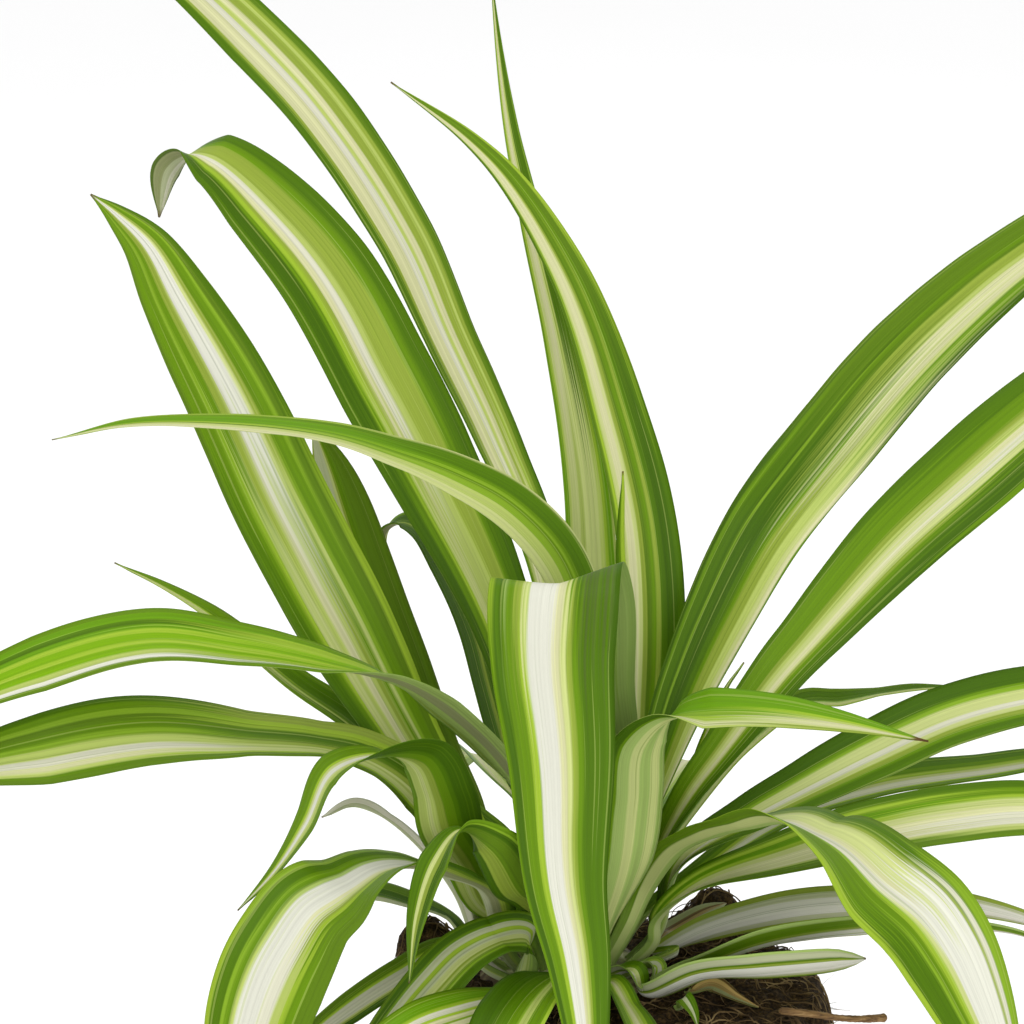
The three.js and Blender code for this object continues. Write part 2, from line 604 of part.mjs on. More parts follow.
// one blade: a thin gutter of six points a section, carried along the spine without twist and
// then rolled by its turn
function leafGeometry(leaf) {
  const { spine, heading } = leafSpine(leaf);
  const sections = sectionPlaces(spine);
  const across = new THREE.Vector3(Math.sin(heading), -Math.cos(heading), 0);
  const points = [];
  sections.forEach(({ place, turn, along }, k) => {
    const before = sections[Math.max(k - 1, 0)].place;
    const after = sections[Math.min(k + 1, sections.length - 1)].place;
    const forward = after.clone().sub(before).normalize();
    across.addScaledVector(forward, -across.dot(forward)).normalize();
    const side = across.clone().applyAxisAngle(forward, turn);
    const up = side.clone().cross(forward);
    const half = bladeWidth(leaf, along) / 2;
    const fold = bladeFold(leaf, along);
    const corner = (direction, lift, sink) =>
      place
        .clone()
        .addScaledVector(side, direction * (half * Math.cos(fold) + sink * Math.sin(fold)))
        .addScaledVector(up, lift * half * Math.sin(fold) - sink * Math.cos(fold));
    const keel = BLADE.thickness / Math.cos(fold);
    points.push(
      corner(-1, 1, 0),
      place.clone(),
      corner(1, 1, 0),
      corner(1, 1, BLADE.thickness),
      place.clone().addScaledVector(up, -keel),
      corner(-1, 1, BLADE.thickness),
    );
  });
  const faces = [0, 4, 1, 0, 5, 4, 1, 3, 2, 1, 4, 3];
  const last = 6 * (sections.length - 1);
  for (let k = 0; k < last; k += 6) {
    for (let j = 0; j < 6; j += 1) {
      const next = (j + 1) % 6;
      if (j < 3) {
        faces.push(k + j, k + next, k + 6 + next, k + j, k + 6 + next, k + 6 + j);
      } else {
        faces.push(k + j, k + next, k + 6 + j, k + next, k + 6 + next, k + 6 + j);
      }
    }
  }
  faces.push(...[0, 1, 4, 0, 4, 5, 1, 2, 3, 1, 3, 4].map((corner) => last + corner));
  const geometry = new THREE.BufferGeometry();
  geometry.setFromPoints(points);
  geometry.setIndex(faces);
  if (leaf.start) {
    return toGeometry(toSolid(geometry));
  }
  return toGeometry(toSolid(geometry).subtract(crownSolid(CLEARANCE)));
}

// ---------------------------------------------------------------- assembly
const LEAF_GREENS = ["#5d8a2a", "#6c9a35", "#4f7d2b", "#7aa544"];

const plant = new THREE.Group();
plant.add(part("pot", potGeometry(), "#b5694a", 0.85));
plant.add(part("root_ball", rootBallGeometry(), "#3a2a1e", 1));
plant.add(part("crown", toGeometry(crownSolid(0)), "#b9bf8a", 0.7));
plant.add(part("twig", twigGeometry(), "#8a6a45", 0.9));
Object.entries(LEAVES).forEach(([name, leaf], i) => {
  plant.add(part(name, leafGeometry(leaf), leaf.dry ? "#9a7a4c" : LEAF_GREENS[i % 4], 0.45));
});

export default plant;
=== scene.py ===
"""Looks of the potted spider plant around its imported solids.

Every leaf repeats the route that its solid follows, with a finer section, gentle waves and a
striped material; compost, crown, pot, twig and dead leaves are finer forms of their solids.
Lengths in the tables are millimetres, +Z up, as in the part's source.
"""

import math
import random

import bpy
import numpy as np
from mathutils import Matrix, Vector, noise


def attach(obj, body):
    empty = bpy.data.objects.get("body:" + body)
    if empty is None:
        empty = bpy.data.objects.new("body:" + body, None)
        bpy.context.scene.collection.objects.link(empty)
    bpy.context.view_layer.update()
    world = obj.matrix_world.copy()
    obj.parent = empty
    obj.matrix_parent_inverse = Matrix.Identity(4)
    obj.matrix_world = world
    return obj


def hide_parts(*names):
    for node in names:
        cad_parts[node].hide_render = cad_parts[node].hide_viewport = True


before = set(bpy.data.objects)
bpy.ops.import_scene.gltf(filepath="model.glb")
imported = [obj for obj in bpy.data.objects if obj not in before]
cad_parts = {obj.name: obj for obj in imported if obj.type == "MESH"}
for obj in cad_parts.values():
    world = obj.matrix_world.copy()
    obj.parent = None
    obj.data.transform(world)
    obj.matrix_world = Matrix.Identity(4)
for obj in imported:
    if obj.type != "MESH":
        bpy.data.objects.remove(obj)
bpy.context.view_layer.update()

MM = 0.001


# ---------------------------------------------------------------- sizes shared with the solids
CLEARANCE = 0.3
POT_RIM_RADIUS = 60.0
POT_BAND_STEP = 4.5
POT_RIM_HEIGHT = 17.0
POT_FOOT_RADIUS = 42.0
POT_HEIGHT = 100.0
POT_WALL = 4.5
POT_FLOOR = 6.0
DRAIN_HOLES = 4
DRAIN_RADIUS = 4.0
DRAIN_RING = 22.0
BALL_CENTRE = 125.0
BALL_SAG = 0.0018
BALL_SHOULDER = 49.5
BALL_FALL = 0.45
BALL_RADIUS = 53.0
CLODS = ((27.0, 37.0, 15.0, 11.0), (-45.0, 16.0, 14.0, 12.0))  # x, y, radius, height
CROWN_X, CROWN_Y, CROWN_PEAK, CROWN_SLOPE, CROWN_RADIUS = -9.0, -2.0, 133.0, 0.35, 21.5
ROOTED = 3.0
STEPS_PER_SPAN = 12


# ---------------------------------------------------------------- colours
GAIN = 0.76  # colours are darkened by this factor, because the studio light brightens them


def colour(red, green, blue):
    """A colour given as the eye reads it on a screen, 0 to 255, as the shader needs it."""
    def linear(value):
        value /= 255
        return value / 12.92 if value <= 0.04045 else ((value + 0.055) / 1.055) ** 2.4
    return (GAIN * linear(red), GAIN * linear(green), GAIN * linear(blue), 1.0)


DEEP = colour(66, 101, 0)
DARK = colour(78, 115, 0)
GREY = colour(84, 106, 40)
MOSS = colour(94, 127, 16)
GREEN = colour(100, 138, 6)
FRESH = colour(102, 150, 2)
GRASS = colour(120, 166, 0)
LEAFY = colour(132, 168, 36)
LIME = colour(154, 184, 48)
OLIVE = colour(144, 164, 58)
SAGE = colour(160, 184, 100)
SAP = colour(178, 194, 100)
PALE = colour(196, 205, 130)
CREAM = colour(210, 210, 160)
WHITE = colour(213, 212, 188)
SNOW = colour(222, 222, 206)
GHOST = colour(186, 192, 152)
HUSKY = colour(146, 152, 104)
STRAW = colour(190, 160, 96)
TAN = colour(150, 124, 74)
BROWN = colour(96, 70, 36)


# ---------------------------------------------------------------- leaf rows
# How a leaf sets off from the crown: mm outwards for each mm upwards, and how many mm it goes
# in that direction before the first point of its path.
INNER = (0.1, 14)
STEEP = (0.3, 13)
SLANTED = (0.55, 11)
ARCHING = (0.9, 9)
SPREADING = (1.3, 8)
LOW = (2, 8)
LOW_LONG = (2, 9)


def row(stance, ring, heading, width, path, base=0.38, belly=0.4, taper=2,
        fold=(60, 15, 10), start=None):
    """One leaf. It starts at a ring, in mm, and a heading, in degrees, on the crown, or at the
    height start on the compost. The blade is widest at the share belly of its length and has
    the share base of its width at the foot; fold is its fold in degrees at foot, middle, tip."""
    lean, rise = stance
    leaf = dict(lean=lean, rise=rise, ring=ring, heading=heading, width=width, path=path,
                base=base, belly=belly, taper=taper, fold=fold)
    if start is not None:
        leaf["start"] = start
    return leaf


# The rows repeat those of the part's source. Each point of a path is x, y, z in mm and the
# turn of the blade in degrees. The points were set by hand as places in the photograph with
# a guessed depth, and then worked out and rounded to these numbers by a separate program.
LEAVES = {
    "leaf_centre_young": row(
        INNER, 3, 330, 6.5, belly=0.5, fold=(50, 50, 50),
        path=[(1, 1, 176, -30), (4, 4, 210, -30), (3, 4, 229, -30), (3, 3, 246, -30)]),
    "leaf_centre_tall": row(
        STEEP, 7.5, 78, 17.5, belly=0.35, taper=1.7,
        path=[(6, 18, 161, 25), (10, 29, 185, 25), (9, 36, 223, 30), (2, 44, 252, 30),
              (-8, 52, 280, 30), (-22, 57, 303, 30), (-33, 61, 314, 35), (-52, 66, 327, 45)]),
    "leaf_left_tallest": row(
        STEEP, 7.6, 124, 17.5, base=0.32, belly=0.6,
        path=[(-7, 13, 163, -5), (-11, 24, 194, -5), (-17, 40, 220, -10), (-27, 56, 241, -10),
              (-39, 70, 264, -10), (-50, 82, 286, -15), (-68, 94, 312, -20), (-87, 106, 331, -25),
              (-110, 114, 350, -15), (-138, 120, 363, -5), (-169, 124, 363, 0),
              (-197, 126, 351, 5)]),
    "leaf_left_long_thin": row(
        INNER, 4.5, 215, 14.5,
        path=[(-7, -5, 168, -55), (-6, -7, 198, -65), (-9, -9, 220, -85), (-14, -11, 231, -80),
              (-24, -14, 242, -70), (-35, -17, 249, -60), (-48, -20, 255, -45),
              (-64, -24, 261, -35), (-86, -29, 265, -35), (-109, -33, 266, -35),
              (-126, -36, 263, -15)]),
    "leaf_front_creased": row(
        STEEP, 7.5, 278, 31.2, base=0.26, taper=1.6, fold=(45, 11, 8),
        path=[(-2, -17, 172, -5), (-8, -25, 201, -5), (-10, -34, 222, -5), (-12, -41, 231, -10),
              (-13, -45, 230, -25), (-14, -48, 217, -45), (-12, -53, 193, -50),
              (-11, -60, 167, -50), (-8, -65, 150, -50), (-6, -70, 133, -50), (-5, -73, 117, -50),
              (-4, -75, 101, -50)]),
    "leaf_right_tall": row(
        STEEP, 7.9, 24, 23.5, base=0.32, belly=0.45,
        path=[(9, 10, 161, 45), (19, 19, 188, 45), (32, 28, 214, 40), (40, 34, 226, 40),
              (54, 48, 240, 40), (77, 70, 261, 45), (105, 90, 280, 45), (130, 104, 292, 50),
              (156, 116, 296, 50), (183, 126, 285, 30)]),
    "leaf_left_upper_arch": row(
        STEEP, 8.5, 220, 17.5, belly=0.6,
        path=[(-15, -11, 160, -15), (-27, -14, 181, 10), (-39, -16, 193, 10), (-50, -18, 201, -10),
              (-67, -20, 206, -40), (-85, -22, 210, -50), (-106, -24, 213, -60),
              (-131, -25, 207, -75), (-159, -26, 194, -60), (-180, -27, 175, -35)]),
    "leaf_right_sliver": row(
        SLANTED, 12, 44, 4,
        path=[(18, 10, 164, -5), (23, 10, 179, -5), (28, 9, 192, -5), (32, 9, 198, -5)]),
    "leaf_centre_back": row(
        SLANTED, 11.5, 98, 14, belly=0.35, taper=1.3,
        path=[(-1, 30, 157, 5), (-3, 50, 197, 10), (-5, 64, 229, 10), (-11, 76, 261, 15),
              (-18, 84, 289, 15), (-23, 89, 311, 20), (-26, 92, 331, 20), (-28, 94, 350, 20)]),
    "leaf_left_bent_tip": row(
        SLANTED, 11.5, 140, 27, base=0.25, belly=0.6, taper=3.3,
        path=[(-16, 12, 159, -10), (-20, 17, 184, -10), (-27, 26, 206, -15), (-40, 36, 232, -20),
              (-53, 44, 256, -25), (-68, 52, 282, -25), (-84, 58, 300, -25), (-95, 60, 309, -15),
              (-101, 62, 310, 30), (-106, 62, 306, 65), (-108, 60, 295, 80)]),
    "leaf_left_narrow": row(
        STEEP, 9.5, 165, 10,
        path=[(-23, 5, 153, -5), (-34, 9, 161, -30), (-51, 10, 174, -35), (-61, 12, 183, -35),
              (-74, 13, 192, -35), (-94, 16, 208, -35), (-106, 17, 215, -30),
              (-117, 18, 220, -20)]),
    "leaf_left_broad": row(
        SLANTED, 11.3, 186, 25, base=0.235, belly=0.5, taper=4,
        path=[(-32, 1, 155, -50), (-48, 6, 180, -60), (-62, 11, 205, -70), (-77, 16, 233, -70),
              (-90, 21, 260, -65), (-102, 25, 282, -60), (-109, 29, 294, -60), (-116, 31, 301, -55),
              (-122, 32, 306, -50)]),
    "leaf_left_dropping": row(
        SLANTED, 12, 234, 16.5, base=0.25, belly=0.45, taper=1.8,
        path=[(-29, -15, 147, 65), (-32, -20, 157, 55), (-37, -27, 168, 35), (-39, -29, 177, 15),
              (-43, -31, 186, 15), (-53, -33, 188, -20), (-64, -33, 184, -55), (-70, -34, 172, -60),
              (-77, -34, 161, -55), (-86, -34, 151, -50)]),
    "leaf_front_small_drop": row(
        SLANTED, 11.5, 261, 13.5, base=0.22, belly=0.52,
        path=[(-18, -30, 152, 30), (-21, -47, 161, 20), (-27, -57, 174, 0), (-34, -57, 178, -45),
              (-40, -60, 171, -80), (-44, -61, 159, -85), (-46, -61, 143, -80)]),
    "leaf_right_folded": row(
        SLANTED, 11, 298, 17.5, base=0.4, belly=0.35, fold=(40, 18, 15),
        path=[(4, -24, 158, -5), (6, -27, 175, 0), (7, -31, 189, 0), (13, -34, 197, 25),
              (22, -36, 199, 65), (36, -40, 200, 65), (53, -45, 199, 65), (71, -48, 196, 55)]),
    "leaf_right_front_arch": row(
        SLANTED, 11.5, 335, 29, base=0.26, belly=0.45, taper=3,
        path=[(10, -7, 146, -10), (17, -12, 158, -15), (26, -20, 165, -20), (33, -27, 169, -20),
              (40, -33, 172, -25), (46, -38, 171, -25), (53, -42, 168, -10), (61, -46, 161, 10),
              (70, -49, 154, 20), (76, -52, 146, 25), (82, -54, 134, 25), (88, -56, 120, 25),
              (93, -58, 106, 15)]),
    "leaf_right_second": row(
        SLANTED, 11.5, 14, 24, base=0.2, belly=0.62,
        path=[(12, 3, 153, 35), (19, 0, 168, 40), (26, 0, 178, 35), (40, 4, 196, 35),
              (47, 8, 203, 35), (69, 21, 224, 45), (88, 30, 239, 45), (104, 37, 251, 40),
              (128, 46, 267, 30), (155, 54, 273, 25), (183, 62, 269, 20)]),
    "leaf_left_back_curl": row(
        ARCHING, 15, 142, 12.5, belly=0.5, taper=5,
        path=[(-18, 24, 154, -5), (-23, 33, 166, -10), (-28, 44, 181, -10), (-32, 54, 193, -10),
              (-39, 62, 206, -5), (-45, 66, 215, -5), (-50, 68, 217, -5), (-54, 67, 215, 45),
              (-55, 66, 207, 70)]),
    "leaf_left_behind": row(
        ARCHING, 15.5, 168, 15.5, belly=0.5, taper=6,
        path=[(-34, 14, 157, -45), (-43, 24, 173, -45), (-50, 31, 191, -45), (-58, 38, 212, -45),
              (-63, 43, 226, -45), (-67, 47, 237, -45), (-71, 50, 246, -40)]),
    "leaf_front_left_arch": row(
        ARCHING, 15.5, 220, 27.5, base=0.2, belly=0.5, taper=4,
        path=[(-30, -28, 154, 0), (-39, -35, 160, 10), (-46, -38, 163, 10), (-53, -42, 163, 5),
              (-59, -45, 160, -5), (-63, -47, 158, -20), (-68, -49, 155, -30), (-73, -51, 148, -40),
              (-77, -53, 141, -50), (-81, -55, 130, -55), (-84, -57, 117, -40),
              (-87, -58, 102, -25)]),
    "leaf_right_thin": row(
        ARCHING, 15.5, 52, 8, belly=0.5,
        path=[(15, 26, 148, -10), (32, 38, 167, -10), (48, 44, 178, 0), (57, 46, 178, 5),
              (67, 48, 179, -15), (76, 49, 180, -5), (90, 50, 180, -20)]),
    "leaf_right_middle": row(
        ARCHING, 15.5, 33, 13, belly=0.5,
        path=[(20, 14, 142, 0), (42, 20, 156, 5), (66, 24, 163, 5), (90, 26, 166, 0),
              (114, 28, 168, 0), (144, 30, 160, -5)]),
    "leaf_right_upper": row(
        ARCHING, 15.5, 1, 18, base=0.28, belly=0.45,
        path=[(17, -1, 151, 30), (34, 2, 162, 40), (46, 4, 168, 40), (63, 7, 176, 45),
              (81, 9, 184, 45), (102, 11, 189, 45), (129, 13, 191, 30), (155, 15, 183, 25),
              (178, 17, 170, 5)]),
    "leaf_right_lower": row(
        ARCHING, 15.5, 342, 17, base=0.3, belly=0.45,
        path=[(12, -9, 140, 20), (21, -11, 149, 30), (42, -12, 157, 40), (59, -12, 162, 45),
              (80, -11, 166, 50), (101, -9, 167, 55), (128, -4, 159, 40), (152, 0, 143, 25)]),
    "leaf_low_left_shaded": row(
        SPREADING, 18.6, 174.5, 9,
        path=[(-38, 4, 136, 0), (-47, 6, 139, -15), (-57, 8, 141, -25), (-71, 10, 137, -30),
              (-86, 12, 128, -25)]),
    "leaf_left_lower_arch": row(
        SPREADING, 18.5, 193, 21.5, base=0.32, belly=0.6,
        path=[(-31, -8, 147, -55), (-38, -9, 160, -55), (-45, -9, 172, -55), (-55, -11, 180, -30),
              (-67, -13, 184, -15), (-84, -15, 186, -20), (-107, -17, 188, -40),
              (-131, -19, 185, -65), (-151, -20, 180, -50), (-169, -21, 167, -15)]),
    "leaf_left_small_arch": row(
        SPREADING, 17.3, 210, 7.4, base=0.28, taper=6,
        path=[(-36, -10, 147, 5), (-45, -12, 160, 5), (-53, -15, 168, 10), (-60, -19, 172, 40),
              (-67, -20, 169, 45)]),
    "leaf_low_left_rear": row(
        LOW, 18.5, 226, 10,
        path=[(-37, -22, 137, -35), (-48, -28, 133, -40), (-60, -31, 126, -45),
              (-72, -34, 117, -35), (-86, -36, 102, -20)]),
    "leaf_low_left_front": row(
        LOW, 18.5, 243, 14, belly=0.5,
        path=[(-19, -29, 143, -95), (-26, -36, 145, -35), (-34, -37, 141, -45),
              (-41, -41, 135, -50), (-50, -47, 126, -50), (-58, -50, 116, -40),
              (-64, -53, 100, -20)]),
    "leaf_low_front_left": row(
        LOW, 18.5, 260, 14, belly=0.5,
        path=[(-19, -41, 133, 0), (-32, -54, 134, -25), (-44, -63, 133, -35), (-55, -67, 127, -35),
              (-69, -70, 113, -10)]),
    "leaf_low_front": row(
        LOW, 18, 276, 19, belly=0.5,
        path=[(-13, -43, 138, -5), (-20, -60, 138, -5), (-25, -68, 132, -15), (-30, -72, 119, -20),
              (-33, -74, 101, -15)]),
    "leaf_low_right_rear": row(
        LOW, 18, 352, 10,
        path=[(11, 1, 127, -60), (22, 2, 133, -85), (41, 3, 138, -90), (60, 3, 140, -90),
              (81, 3, 140, -85), (103, 3, 135, -65), (122, 3, 126, -45)]),
    "leaf_low_right_front": row(
        LOW, 17, 325, 12.5,
        path=[(10, -18, 126, -50), (21, -22, 133, -25), (37, -25, 140, -30), (58, -27, 144, -35),
              (81, -28, 145, -30), (97, -29, 143, -20), (109, -30, 136, 0)]),
    "leaf_low_right_blunt": row(
        LOW_LONG, 15.8, 307, 13.5, belly=0.6, taper=6,
        path=[(8, -24, 127, -55), (21, -28, 133, -50), (35, -30, 135, -55), (48, -32, 137, -55),
              (59, -33, 139, -55)]),
    "leaf_back_middle": row(
        ARCHING, 15.5, 98, 15, belly=0.5,
        path=[(-8, 34, 151, 10), (-11, 62, 161, 15), (-12, 95, 160, 15), (-12, 128, 150, 10),
              (-11, 155, 133, 5), (-11, 172, 112, 0)]),
    "leaf_back_right": row(
        ARCHING, 15.5, 74, 13, belly=0.5,
        path=[(8, 36, 148, -10), (16, 62, 152, -10), (22, 92, 148, -10), (25, 120, 135, -5),
              (26, 142, 120, 0)]),
    "leaf_back_left": row(
        ARCHING, 15.5, 121, 14, belly=0.5,
        path=[(-17, 36, 148, 10), (-27, 64, 152, 10), (-34, 96, 149, 10), (-39, 126, 136, 5),
              (-42, 148, 117, 0)]),
    "leaf_low_front_right": row(
        LOW, 18, 292, 10,
        path=[(3, -34, 129, -30), (7, -52, 127, -20), (10, -62, 119, -15), (12, -67, 103, -25)]),
    "leaf_tiny_on_soil": row(
        (1.6, 2), 36, 313, 4, base=0.6, start=124.9,
        path=[(17, -32, 129, 10), (19, -36, 127, -30), (20, -40, 125, -35)]),
    "dry_leaf_stub": row(
        (1.6, 8), 18, 22, 7, taper=6,
        path=[(16, 13, 130, 10), (24, 18, 133, 10), (29, 21, 134, 10)]),
    "dead_leaf_on_soil": row(
        (8, 1.5), 31.5, 330, 6, base=0.45, belly=0.35, taper=1.3, fold=(20, 25, 15), start=125.4,
        path=[(24, -16, 126, 35), (29, -20, 125, 25), (35, -22, 123, 25)]),
}


# ---------------------------------------------------------------- stripes
def bands(*parts):
    """Ramp stops for parallel bands: where each band starts, from 0 to 1, and its colour."""
    starts, tones = parts[0::2], parts[1::2]
    stops = [(0.0, tones[0])]
    for start, before, after in zip(starts[1:], tones, tones[1:]):
        stops += [(start - 0.012, before), (start + 0.012, after)]
    return stops


